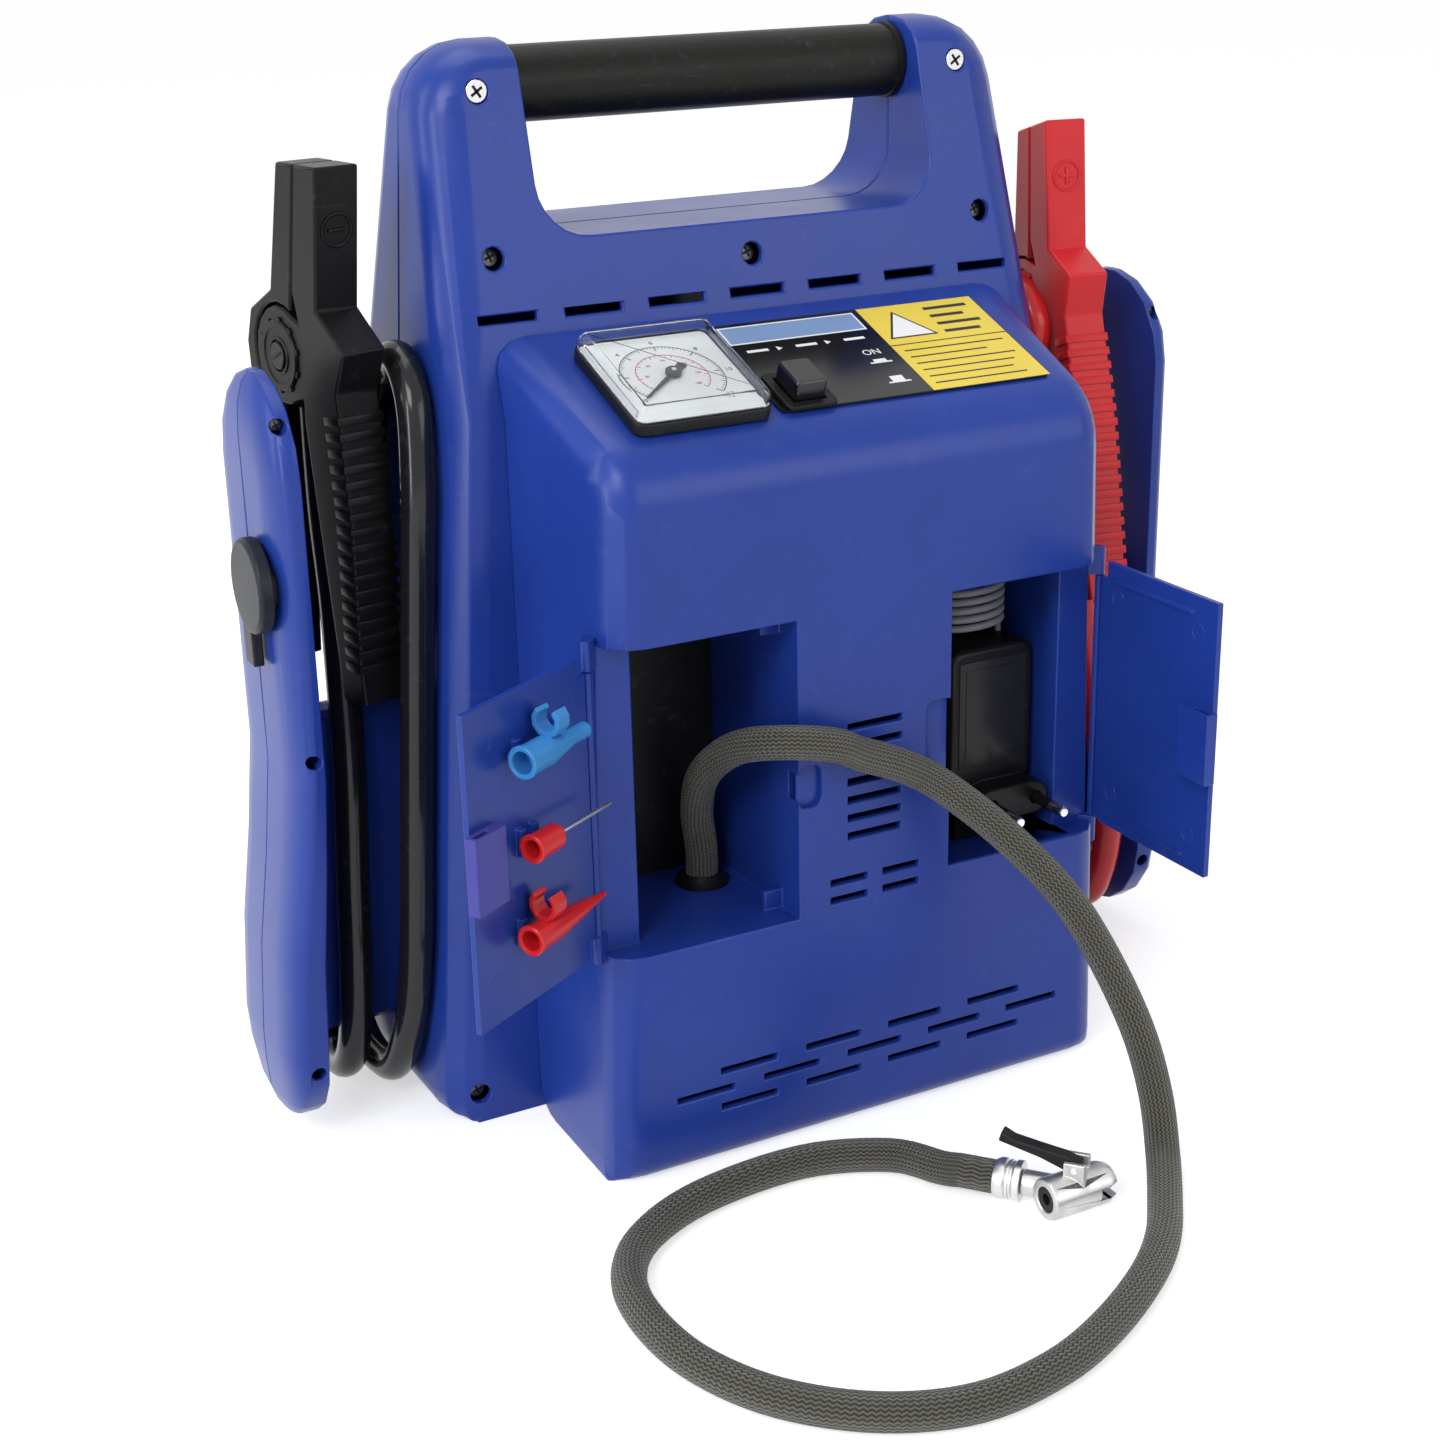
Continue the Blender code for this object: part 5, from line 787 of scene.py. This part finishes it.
def build_doors(settings):
    """Both doors, the left one with its violet latch, and the marks that the mould left."""
    blue = housing(settings)
    latch = plastic("latch violet", (0.060, 0.062, 0.33), 0.4, 0.3, 900.0)
    into_door = LEFT_DOOR.inverted()

    def on_latch(middle):
        spot = into_door @ middle
        return int(spot.x > 51.2 and spot.y > 1.3)

    dressed("left_door", [blue, latch], settings.edge_round * 0.7, 30.0, on_latch)
    dressed("right_door", blue, settings.edge_round * 0.7)
    for word, local, side, heights in (("left", LEFT_DOOR, 1, (98.5, 176.0)),
                                       ("right", RIGHT_DOOR, -1, (103.5, 176.0))):
        marks = bmesh.new()
        for z in heights:
            for u in (12.0, 54.5):
                lathe_part(marks, [(2.6, -0.15), (2.9, 0.1), (3.1, -0.15)], 28,
                           local @ facing((side * u, 1.1, z), (0, 1, 0)))
        keep(word + "_door_marks", marks, blue, word + "_door")


def build_nozzles(settings):
    """Nozzles clipped to the left door, with the lips of their open ends."""
    light = plastic("nozzle light blue", settings.nozzle_blue, 0.33, 0.2, 900.0, 0.00004)
    red = plastic("nozzle red", (0.66, 0.018, 0.02), 0.30, 0.2, 900.0, 0.00004, 0.1)
    for node, material in (("tube_adaptor", light), ("cone_adaptor", red), ("needle_adaptor", red)):
        dressed(node, material, 0.00025)
    dressed("inflation_needle", metal("needle steel", (0.72, 0.72, 0.72), 0.2, 0.2))

    def lip(bm, u, z, radius):
        lathe_part(bm, [(radius - 1.2, -1.2), (radius + 0.35, -1.2), (radius + 0.35, 0.1),
                        (radius - 0.2, 0.35), (radius - 1.2, 0.1)], 32,
                   LEFT_DOOR @ Matrix.Translation((u, 8.0, z)) @ Matrix.Rotation(QUARTER, 4, "Y"))

    for name, material, node, ends in (
            ("tube_adaptor_lip", light, "tube_adaptor", ((45.7, 168.6, 4.9),)),
            ("red_adaptor_lips", red, "cone_adaptor", ((43.1, 139.8, 4.3), (46.1, 110.5, 4.6)))):
        lips = bmesh.new()
        for u, z, radius in ends:
            lip(lips, u, z, radius)
        keep(name, lips, material, "left_door")


# ------------------------------------------------------------------ deck
def on_deck(x, v, w=0.0):
    """Frame on the sloping deck: x across, v up the slope, w above it."""
    return DECK @ Matrix.Translation((x, v, w))


def scale_mark(bm, angle, inner, outer, width, local, low):
    """Printed stroke of the dial's scale."""
    block(bm, (inner, -width / 2, low), (outer, width / 2, low + 0.05), 0.0,
          local @ Matrix.Rotation(angle, 4, "Z"))


def arc_band(bm, inner, outer, start, low, local):
    """Thin printed band along the dial's scale."""
    part = bmesh.new()
    verts = [part.verts.new((r * math.cos(start), r * math.sin(start), z))
             for r, z in ((inner, low), (outer, low), (outer, low + 0.05), (inner, low + 0.05))]
    edges = [part.edges.new((a, b)) for a, b in zip(verts, verts[1:] + verts[:1])]
    bmesh.ops.spin(part, geom=verts + edges, cent=(0, 0, 0), axis=(0, 0, -1), angle=DIAL_SWEEP,
                   steps=64)
    ends = [e for e in part.edges if len(e.link_faces) == 1]
    bmesh.ops.holes_fill(part, edges=ends, sides=4)
    part.transform(local)
    add_into(bm, part)


def build_gauge(settings):
    """Pressure gauge: black base, printed dial, pointer and clear bevelled cover."""
    local = on_deck(*GAUGE_PLACE)
    ink = plastic("dial ink", (0.015, 0.015, 0.018), 0.5, 0.0)
    red_ink = plastic("dial red ink", (0.62, 0.03, 0.03), 0.5, 0.0)
    dressed("gauge_base", black_plastic(settings), 0.0005)
    dressed("gauge_dial", plastic("dial white", (0.82, 0.83, 0.83), 0.5, 0.05, 1200.0, 0.00001))
    dressed("gauge_needle", plastic("pointer black", (0.01, 0.01, 0.01), 0.35, 0.1))
    dressed("gauge_cover", clear_plastic("gauge cover clear"), 0.0004)
    start = math.atan2(-13.2, -16.6)
    low = DIAL_TOP + 0.02
    black, red = bmesh.new(), bmesh.new()
    marks = 60
    for k in range(marks + 1):
        long = k % 10 == 0
        inner = 14.7 if long else (15.4 if k % 5 == 0 else 16.1)
        scale_mark(black, start - DIAL_SWEEP * k / marks, inner, 17.2, 0.42 if long else 0.22,
                   local, low)
    red_marks = 28
    for k in range(red_marks + 1):
        inner, width = (10.6, 0.3) if k % 4 == 0 else (11.2, 0.18)
        scale_mark(red, start - DIAL_SWEEP * k / red_marks, inner, 12.1, width, local, low)
    arc_band(black, 17.0, 17.3, start, low, local)
    arc_band(red, 11.9, 12.15, start, low, local)
    keep("dial_black_scale", black, ink, "pack")
    keep("dial_red_scale", red, red_ink, "pack")

    def number(value, radius, angle, size, name, material):
        spot = Matrix.Translation((radius * math.cos(angle), radius * math.sin(angle),
                                   DIAL_TOP + 0.05))
        lettering(str(value), size, local @ spot, name, material)

    for k in range(7):
        angle = start - DIAL_SWEEP * k / 6
        number(2 * k, 19.6, angle, 2.7, "dial_number_%d" % k, ink)
        if k:
            number(30 * k, 8.7, angle, 1.6, "dial_red_number_%d" % k, red_ink)
    hub = bmesh.new()
    lathe_part(hub, [(0, 4.9), (2.7, 4.9), (2.7, 6.0), (2.1, 6.5), (0, 6.6)], 32, local)
    keep("pointer_hub", hub, gloss_black(), "pointer")


def build_switch(settings):
    """Square push button in its bezel."""
    dressed("switch_bezel", black_plastic(settings), 0.0004)
    dressed("push_button", gloss_black(), 0.0005)


def triangle(bm, radius, local):
    """Flat printed triangle."""
    part = bmesh.new()
    bmesh.ops.create_circle(part, cap_ends=True, segments=3, radius=radius)
    solid = bmesh.ops.extrude_face_region(part, geom=part.faces[:])["geom"]
    bmesh.ops.translate(part, vec=(0, 0, PRINT),
                        verts=[g for g in solid if isinstance(g, bmesh.types.BMVert)])
    part.transform(local)
    add_into(bm, part)


def printed(name, material, layer, fields, triangles=()):
    """Print on the label: fields as left, front, right and back edge, then triangles."""
    bm = bmesh.new()
    low = LABEL_TOP + layer
    for left, front, right, back, *thick in fields:
        block(bm, (left, front, low), (right, back, low + (thick[0] if thick else PRINT)))
    for radius, place, turn in triangles:
        triangle(bm, radius, Matrix.Translation(place) @ Matrix.Rotation(turn, 4, "Z"))
    keep(name, bm, material, "pack", DECK)


def build_label(settings):
    """Glossy deck label in two fields, with the switch's plain signs."""
    dressed("label_plate", plastic("label edge black", (0.01, 0.01, 0.011), 0.3, 0.1))
    white = plastic("label white", (0.82, 0.83, 0.84), 0.4, 0.05, 800.0, 0.00001)
    printed("label_black_field", gloss_black(), 0.02,
            [(-25.2, -22.7, -22.9, 30.2), (-22.9, -2.4, -6.0, 30.2), (-6.0, -22.7, 31.4, 30.2)])
    printed("label_yellow_field",
            plastic("label yellow", settings.yellow, 0.34, 0.15, 800.0, 0.00002, 0.2), 0.02,
            [(31.8, -22.7, 78.3, 30.2)])
    signs = [(-23.2, 17.6, 29.4, 28.6)] + [(u, 12.2, u + 8.0, 13.6) for u in (-19.5, -1.0, 17.5)]
    for low, high in ((-3.2, -0.8), (-15.6, -11.6)):
        signs += [(19.0, low, 27.4, low + 0.8), (20.8, low + 0.8, 25.6, high)]
    printed("label_white_marks", white, 0.06, signs,
            [(1.4, (u, 12.9, LABEL_TOP + 0.06), -QUARTER) for u in (-7.5, 11.0)])
    printed("label_blue_band", plastic("label pale blue", (0.19, 0.30, 0.52), 0.4, 0.05, 800.0,
                                       0.00001), 0.10, [(-22.5, 18.3, 28.7, 27.9)])
    lettering("ON", 4.4, on_deck(23.0, 3.6, LABEL_TOP + 0.1), "label_on", white)
    bars = [(31.8, 5.4, 78.3, 5.9, 0.07)]
    bars += [(35.0, 1.4 - 4.1 * row, reach, 2.1 - 4.1 * row)
             for row, reach in enumerate((74.5, 65.5, 74.5, 71.5, 68.5, 71.5))]
    bars += [(56.5, 24.8 - 5.0 * row, reach, 26.5 - 5.0 * row)
             for row, reach in enumerate((74.0, 70.0, 74.0, 71.0))]
    printed("label_print", plastic("label ink", (0.03, 0.03, 0.03), 0.45, 0.0), 0.06, bars,
            [(11.2, (43.8, 15.2, LABEL_TOP + 0.05), 0)])
    printed("label_triangle", white, 0, [], [(9.6, (43.8, 15.2, LABEL_TOP + 0.10), 0)])


# ------------------------------------------------------------------ wings and socket
def build_wings(settings):
    """Side wings with their spools and sunk screws."""
    blue = housing(settings)
    for word in ("left", "right"):
        for end in ("front", "rear"):
            dressed("%s_wing_%s" % (word, end), blue, settings.edge_round * 0.8, 34.0)
        dressed(word + "_spool", blue, settings.edge_round)
    spots = [facing((side * (WING_X + shift * splay), WING_SCREW_Y, z), (0, -1, 0))
             for side, splay in ((-1, 1.0), (1, 2.0 / 7.5))
             for z, shift in ((256.0, 0.0), (146.0, 0.03), (33.5, 7.5))]
    screws("wing_screws", spots, 2.3)


def build_socket(settings):
    """Charging socket with its hinged rubber cap."""
    rubber = plastic("cap rubber", (0.010, 0.012, 0.018), 0.40, 0.6, 800.0, 0.00012)
    dressed("socket_body", black_plastic(settings))
    dressed("socket_cap", rubber, 0.0006)
    rim = bmesh.new()
    local = facing(CAP_CENTRE, (-1, 0, 0))
    lathe_part(rim, [(10.2, -0.3), (11.6, -0.3), (11.6, 0.35), (10.9, 0.6), (10.2, 0.35)], 48,
               local)
    lathe_part(rim, [(0, -0.2), (3.4, -0.2), (3.2, 0.35), (0, 0.45)], 32, local)
    keep("cap_rings", rim, rubber, "cap")


# ------------------------------------------------------------------ clamps and leads
def handle_ribs(bm, line, sign, count, local, channel=0):
    """Grip ribs across a clamp handle; line is its outer edge in (depth, drop).

    Channel is the side, -1 or 1, where a channel for the lead keeps the ribs short.
    """
    half = 8.6
    lengths = [math.dist(a, b) for a, b in zip(line, line[1:])]
    for k in range(count):
        travel = sum(lengths) * (k + 0.5) / count
        for (a, b), length in zip(zip(line, line[1:]), lengths):
            if travel <= length:
                break
            travel -= length
        share = travel / length
        depth = a[0] + (b[0] - a[0]) * share
        drop = a[1] + (b[1] - a[1]) * share
        angle = math.atan2(b[0] - a[0], a[1] - b[1])
        spot = Matrix.Translation((0, depth - PIVOT_DEPTH, drop + PIVOT_DROP))
        turn = local @ spot @ Matrix.Rotation(angle, 4, "X")
        near, far = (-0.7, 9.0) if sign < 0 else (-9.0, 0.7)
        if channel:
            inner, outer = sorted((channel * 3.0, -channel * half))
            block(bm, (inner, near, -1.5), (outer, far, 1.5), 0.45, turn)
            near = -1.2
        block(bm, (-half, near, -1.5), (half, far, 1.5), 0.45, turn)


def jaw_mark(bm, local, word):
    """Raised ring with the pole's sign on the jaw's front face."""
    spot = Vector((0, 3.0 - PIVOT_DEPTH, -20.0 + PIVOT_DROP))
    place = local @ facing(spot, (0, -45.6, -6.8))
    lathe_part(bm, [(4.6, -0.2), (5.8, -0.2), (5.7, 0.5), (5.2, 0.75), (4.7, 0.5)], 40, place)
    block(bm, (-3.1, -0.6, -0.2), (3.1, 0.6, 0.7), 0.2, place)
    if word == "red":
        block(bm, (-0.6, -3.1, -0.2), (0.6, 3.1, 0.7), 0.2, place)


def build_clamp(settings, word):
    """Spring clamp: two arms, copper jaw plates, slotted rivet washers and ribbed grips."""
    local = BLACK_CLAMP if word == "black" else RED_CLAMP
    skin = clamp_skin(settings, word)
    for end in ("front", "rear"):
        dressed("%s_%s_arm" % (word, end), skin, 0.0009)
        dressed("%s_%s_jaw" % (word, end), metal("jaw copper", (0.72, 0.30, 0.16), 0.3, 0.5))
    dressed(word + "_pivot", black_plastic(settings) if word == "black" else dark_steel(), 0.0003)
    dressed(word + "_spring", metal("spring steel", (0.45, 0.45, 0.46), 0.3, 0.4), 0.0, 60.0)
    fixed, moving, slots = bmesh.new(), bmesh.new(), bmesh.new()
    ribs = settings.clamp_ribs
    handle_ribs(fixed, [(-2.8, -77.0), (-6.0, -109.6), (-4.8, -166.0)], -1, ribs, local)
    jaw_mark(fixed, local, word)
    for side in (-1, 1):
        disc = local @ facing((side * 7.9, 0, 0), (side, 0, 0))
        lathe_part(fixed, [(5.4, -0.3), (11.8, -0.3), (11.8, 0.5), (11.2, 1.0), (9.6, 1.0),
                           (9.2, 0.6), (6.6, 0.6), (6.2, 1.0), (5.4, 1.0)], 48, disc)
        for k in range(10):
            block(fixed, (11.3, -1.1, -0.3), (12.7, 1.1, 0.75), 0.25,
                  disc @ Matrix.Rotation(math.radians(36 * k + 12), 4, "Z"))
        # The dark slots in the rivets are painted shade in their recesses.
        block(slots, (-3.6, -0.5, -0.1), (3.6, 0.5, 0.12), 0.05,
              local @ facing((side * 9.4, 0, 0), (side, 0, 0), 25))
    keep(word + "_front_arm_detail", fixed, skin, "pack")
    handle_ribs(moving, [(55.0, -75.0), (53.5, -109.6), (57.0, -166.0)], 1, ribs, local,
                1 if word == "black" else -1)
    keep(word + "_rear_arm_ribs", moving, skin, word + "_back_arm")
    keep(word + "_rivet_slots", slots, recess_shadow(), "pack")


def body_half_width(z):
    """Half width of the body at a height, as its straight sides run."""
    if z <= 240.0:
        return 134.5 + (117.0 - 134.5) * z / 240.0
    return 117.0 + (109.0 - 117.0) * (z - 240.0) / (366.0 - 240.0)


def lead_route(side, radius):
    """Jump lead in millimetres: out of the clamp, round the spool and over its top."""

    def beside(z, extra=0.0):
        return body_half_width(z) + radius + LEAD_GAP + extra

    rear = SPOOL_REAR_Y + radius + LEAD_GAP + 0.6
    if side < 0:
        front_run, top_run = 1.5, 1.2
        first = (144.05, 38.4, 252.0)
        points = [(144.1, 38.6, 240), (144.3, 37.8, 215), (144.4, 33.5, 185), (146.0, 28.4, 158),
                  (147.3, 24.4, 137), (148.4, 22.8, 118), (150.0, 22.6, 90), (151.6, 22.0, 60),
                  (153.0, 23.5, 34), (153.8, 30.5, 15.5)]
    else:
        front_run, top_run = 6.8, 10.0
        first = (140.5, 18.6, 244.3)
        points = [(140.0, 15.9, 230), (139.5, 12.4, 214), (139.3, 5.5, 190), (139.6, -3.8, 152),
                  (144.5, -7.6, 118), (150.6, -8.6, 86), (155.6, -7.4, 56), (157.6, -1.0, 30),
                  (157.2, 10.5, 15.0)]
    outer = 154.2
    points += [(outer, 43.0, 8.4), (outer, 55.0, 15.5), (outer, rear + 1, 36),
               (outer - 0.7, rear, 70), (outer - 4.5, rear, 104), (138.5, rear, 138),
               (beside(170, 0.8), rear - 0.6, 170), (beside(205), rear - 2.5, 205),
               (beside(240), 45.5, 240), (beside(262), 32.0, 262), (beside(269), 18.0, 268),
               (beside(258), 5.5, 256), (beside(232), top_run, 232), (beside(207), top_run, 207),
               (beside(160), front_run, 160), (beside(110), front_run, 110),
               (beside(64), front_run + 0.5, 64), (beside(34, 0.3), 7.5, 34),
               (beside(14, 0.4), 20.0, 14.0), (beside(8, 0.6), 36.0, 8.4),
               (beside(8, 0.8), 52.0, 10.5), (beside(20, 0.8), 66.5, 22),
               (beside(38, 0.4), 72.5, 40), (beside(56, 0.6), 68.0, 57.0),
               (beside(64, 0.9), SPOOL_REAR_Y + 12.1, LEAD_EXIT_Z)]
    last = (beside(64, 0.9), SPOOL_REAR_Y + 0.3, LEAD_EXIT_Z)
    route = [Vector(first)] + smooth_route(points, 8) + [Vector(last)]
    return [Vector((side * p.x, p.y, p.z)) for p in route]


def build_leads(settings):
    """Thick jump leads wound round the spools; both ends are fixed to the pack."""
    radius = settings.lead_diameter / 2 / MM
    black = plastic("lead black", (0.010, 0.010, 0.012), 0.2, 0.35, 300.0, 0.00012, 0.25)
    red = plastic("lead red", (0.56, 0.016, 0.018), 0.24, 0.3, 300.0, 0.00012, 0.2)
    for side, word, skin in ((-1, "black", black), (1, "red", red)):
        swept(word + "_jump_lead", lead_route(side, radius), radius, skin, [word + "_lead"], 6)


# ------------------------------------------------------------------ charger and the inside
def build_charger(settings):
    """Plug-in charger with a sunk rounded face and two round pins with bright tips."""
    dressed("charger_body", black_plastic(settings), 0.0006)
    panel, tips = bmesh.new(), bmesh.new()
    block(panel, (49.5, -57.0, 114.0), (77.6, -56.5, 153.5), 0.2)
    block(panel, (52.0, -57.3, 117.0), (75.0, -56.9, 150.5), 0.18)
    keep("charger_face", panel, plastic("charger face", (0.02, 0.02, 0.021), 0.3, 0.3, 900.0),
         "pack")
    for side, word in ((-1, "left"), (1, "right")):
        dressed(word + "_plug_pin", [black_plastic(settings), chrome()], 0.0003, 30.0,
                lambda middle: int(middle.y < -74.0))
        lathe_part(tips, [(0, -0.35), (1.5, -0.3), (2.05, 0.9), (2.08, 7.0), (1.9, 7.0), (0, 7.0)],
                   24, Matrix.Translation((PIN_MIDDLE_X + side * PIN_HALF_SPACING, -83.1, PIN_Z))
                   @ Matrix.Rotation(-QUARTER, 4, "X"))
    keep("pin_tips", tips, chrome(), "pack")


def build_inside():
    """Battery, compressor and charging board, seen only when the shells are off."""
    for node, material, width in (
            ("battery", plastic("battery grey", (0.05, 0.052, 0.055), 0.5, 0.5, 900.0), 0.0006),
            ("compressor_frame", metal("pressed steel", (0.55, 0.55, 0.57), 0.35, 0.5), 0.0003),
            ("compressor_motor", metal("motor steel", (0.42, 0.42, 0.44), 0.3, 0.4), 0.0003),
            ("compressor_cylinder", metal("cast cylinder", (0.35, 0.36, 0.37), 0.45, 0.5), 0.0),
            ("motor_pinion", metal("pinion brass", (0.65, 0.48, 0.2), 0.3, 0.4), 0.0),
            ("drive_gear", plastic("gear nylon", (0.75, 0.74, 0.70), 0.45, 0.2), 0.0),
            ("charge_board", plastic("board green", (0.02, 0.12, 0.045), 0.4, 0.2), 0.0)):
        dressed(node, material, width)


# ------------------------------------------------------------------ stage
def studio_light(name, place, target, size, power):
    """Rectangular lamp that faces its target and isn't seen."""
    data = bpy.data.lights.new(name, "AREA")
    data.shape = "RECTANGLE"
    data.size, data.size_y = size
    data.energy = power
    item = bpy.data.objects.new(name, data)
    item.location = place
    item.rotation_euler = (Vector(target) - Vector(place)).to_track_quat("-Z", "Y").to_euler()
    item.visible_camera = False
    bpy.context.scene.collection.objects.link(item)


def seen_directly(tree):
    """1 for camera, glossy and transmission rays, 0 for the rays that light the object."""
    path = add_node(tree, "LightPath", -700, 200)
    total = math_node(tree, "MAXIMUM", path.outputs["Is Camera Ray"], path.outputs["Is Glossy Ray"])
    return math_node(tree, "MAXIMUM", total, path.outputs["Is Transmission Ray"])


def build_stage():
    """Plain pale floor, white surroundings and soft studio lamps."""
    bm = bmesh.new()
    bmesh.ops.create_grid(bm, x_segments=8, y_segments=8, size=30.0)
    mesh = bpy.data.meshes.new("floor")
    bm.to_mesh(mesh)
    bm.free()
    floor = bpy.data.objects.new("floor", mesh)
    bpy.context.scene.collection.objects.link(floor)
    material = bpy.data.materials.new("pale floor")
    material.use_nodes = True
    tree = material.node_tree
    shader = tree.nodes["Principled BSDF"]
    shader.inputs["Base Color"].default_value = (0.78, 0.78, 0.78, 1)
    shader.inputs["Roughness"].default_value = 0.9
    shader.inputs["Emission Color"].default_value = (1, 1, 1, 1)
    glow = math_node(tree, "MULTIPLY", seen_directly(tree), 0.56)
    tree.links.new(glow, shader.inputs["Emission Strength"])
    mesh.materials.append(material)
    world = bpy.data.worlds.new("studio")
    bpy.context.scene.world = world
    world.use_nodes = True
    tree = world.node_tree
    background = tree.nodes["Background"]
    background.inputs["Color"].default_value = (1, 1, 1, 1)
    level = math_node(tree, "MULTIPLY_ADD", seen_directly(tree), 0.52, 0.48)
    tree.links.new(level, background.inputs["Strength"])
    for lamp in LAMPS:
        studio_light(*lamp)
    bpy.context.scene.view_settings.view_transform = "Standard"


# ------------------------------------------------------------------ operators
class PieceOperator:
    """Shared part of the operators: each one builds its pieces from the scene's settings."""

    bl_options = {"REGISTER", "UNDO"}

    def settings(self, context):
        return context.scene.jump_pack


class JUMPPACK_OT_camera(PieceOperator, Operator):
    """Place the camera at the viewing angle"""
    bl_idname = "jump_pack.camera"
    bl_label = "Camera"

    def execute(self, context):
        build_camera()
        return {"FINISHED"}


class JUMPPACK_OT_hose(PieceOperator, Operator):
    """Build the braided air hose with its chuck"""
    bl_idname = "jump_pack.hose"
    bl_label = "Air hose"

    def execute(self, context):
        build_hose(self.settings(context))
        return {"FINISHED"}


class JUMPPACK_OT_charger_lead(PieceOperator, Operator):
    """Build the charger's wound lead"""
    bl_idname = "jump_pack.charger_lead"
    bl_label = "Charger lead"

    def execute(self, context):
        build_charger_lead(self.settings(context))
        return {"FINISHED"}


class JUMPPACK_OT_body(PieceOperator, Operator):
    """Dress the body shells, the grip and their screws"""
    bl_idname = "jump_pack.body"
    bl_label = "Body and handle"

    def execute(self, context):
        build_body(self.settings(context))
        return {"FINISHED"}


class JUMPPACK_OT_service_box(PieceOperator, Operator):
    """Dress the service box and both doors"""
    bl_idname = "jump_pack.service_box"
    bl_label = "Service box and doors"

    def execute(self, context):
        build_service_box(self.settings(context))
        build_doors(self.settings(context))
        return {"FINISHED"}


class JUMPPACK_OT_nozzles(PieceOperator, Operator):
    """Dress the nozzles on the left door"""
    bl_idname = "jump_pack.nozzles"
    bl_label = "Nozzles"

    def execute(self, context):
        build_nozzles(self.settings(context))
        return {"FINISHED"}


class JUMPPACK_OT_deck(PieceOperator, Operator):
    """Dress the gauge, the switch and the label"""
    bl_idname = "jump_pack.deck"
    bl_label = "Deck fittings"

    def execute(self, context):
        build_gauge(self.settings(context))
        build_switch(self.settings(context))
        build_label(self.settings(context))
        return {"FINISHED"}


class JUMPPACK_OT_wings(PieceOperator, Operator):
    """Dress the wings, the spools and the charging socket"""
    bl_idname = "jump_pack.wings"
    bl_label = "Wings and socket"

    def execute(self, context):
        build_wings(self.settings(context))
        build_socket(self.settings(context))
        return {"FINISHED"}


class JUMPPACK_OT_clamps(PieceOperator, Operator):
    """Dress both clamps and wind their leads"""
    bl_idname = "jump_pack.clamps"
    bl_label = "Clamps and leads"

    def execute(self, context):
        build_clamp(self.settings(context), "black")
        build_clamp(self.settings(context), "red")
        build_leads(self.settings(context))
        return {"FINISHED"}


class JUMPPACK_OT_charger(PieceOperator, Operator):
    """Dress the plug-in charger"""
    bl_idname = "jump_pack.charger"
    bl_label = "Charger"

    def execute(self, context):
        build_charger(self.settings(context))
        return {"FINISHED"}


class JUMPPACK_OT_inside(PieceOperator, Operator):
    """Dress the battery, the compressor and the board"""
    bl_idname = "jump_pack.inside"
    bl_label = "Inside"

    def execute(self, context):
        build_inside()
        return {"FINISHED"}


class JUMPPACK_OT_stage(PieceOperator, Operator):
    """Lay the floor and set the lamps"""
    bl_idname = "jump_pack.stage"
    bl_label = "Stage"

    def execute(self, context):
        build_stage()
        return {"FINISHED"}


OPERATORS = (JUMPPACK_OT_camera, JUMPPACK_OT_hose, JUMPPACK_OT_charger_lead, JUMPPACK_OT_body,
             JUMPPACK_OT_service_box, JUMPPACK_OT_nozzles, JUMPPACK_OT_deck, JUMPPACK_OT_wings,
             JUMPPACK_OT_clamps, JUMPPACK_OT_charger, JUMPPACK_OT_inside, JUMPPACK_OT_stage)


class JUMPPACK_PT_panel(Panel):
    """Settings and build steps of the pack"""
    bl_idname = "JUMPPACK_PT_panel"
    bl_label = "Jump starter pack"
    bl_space_type = "VIEW_3D"
    bl_region_type = "UI"
    bl_category = "Jump pack"

    def draw(self, context):
        settings = context.scene.jump_pack
        for name in JumpPackSettings.__annotations__:
            self.layout.prop(settings, name)
        for operator in OPERATORS:
            self.layout.operator(operator.bl_idname)


CLASSES = (JumpPackSettings, *OPERATORS, JUMPPACK_PT_panel)


def register():
    for item in CLASSES:
        bpy.utils.register_class(item)
    bpy.types.Scene.jump_pack = PointerProperty(type=JumpPackSettings)


def unregister():
    del bpy.types.Scene.jump_pack
    for item in reversed(CLASSES):
        bpy.utils.unregister_class(item)


def main():
    """Build the pack through its operators."""
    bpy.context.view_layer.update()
    register()
    for operator in OPERATORS:
        group, name = operator.bl_idname.split(".")
        getattr(getattr(bpy.ops, group), name)()


if __name__ == "__main__":
    main()
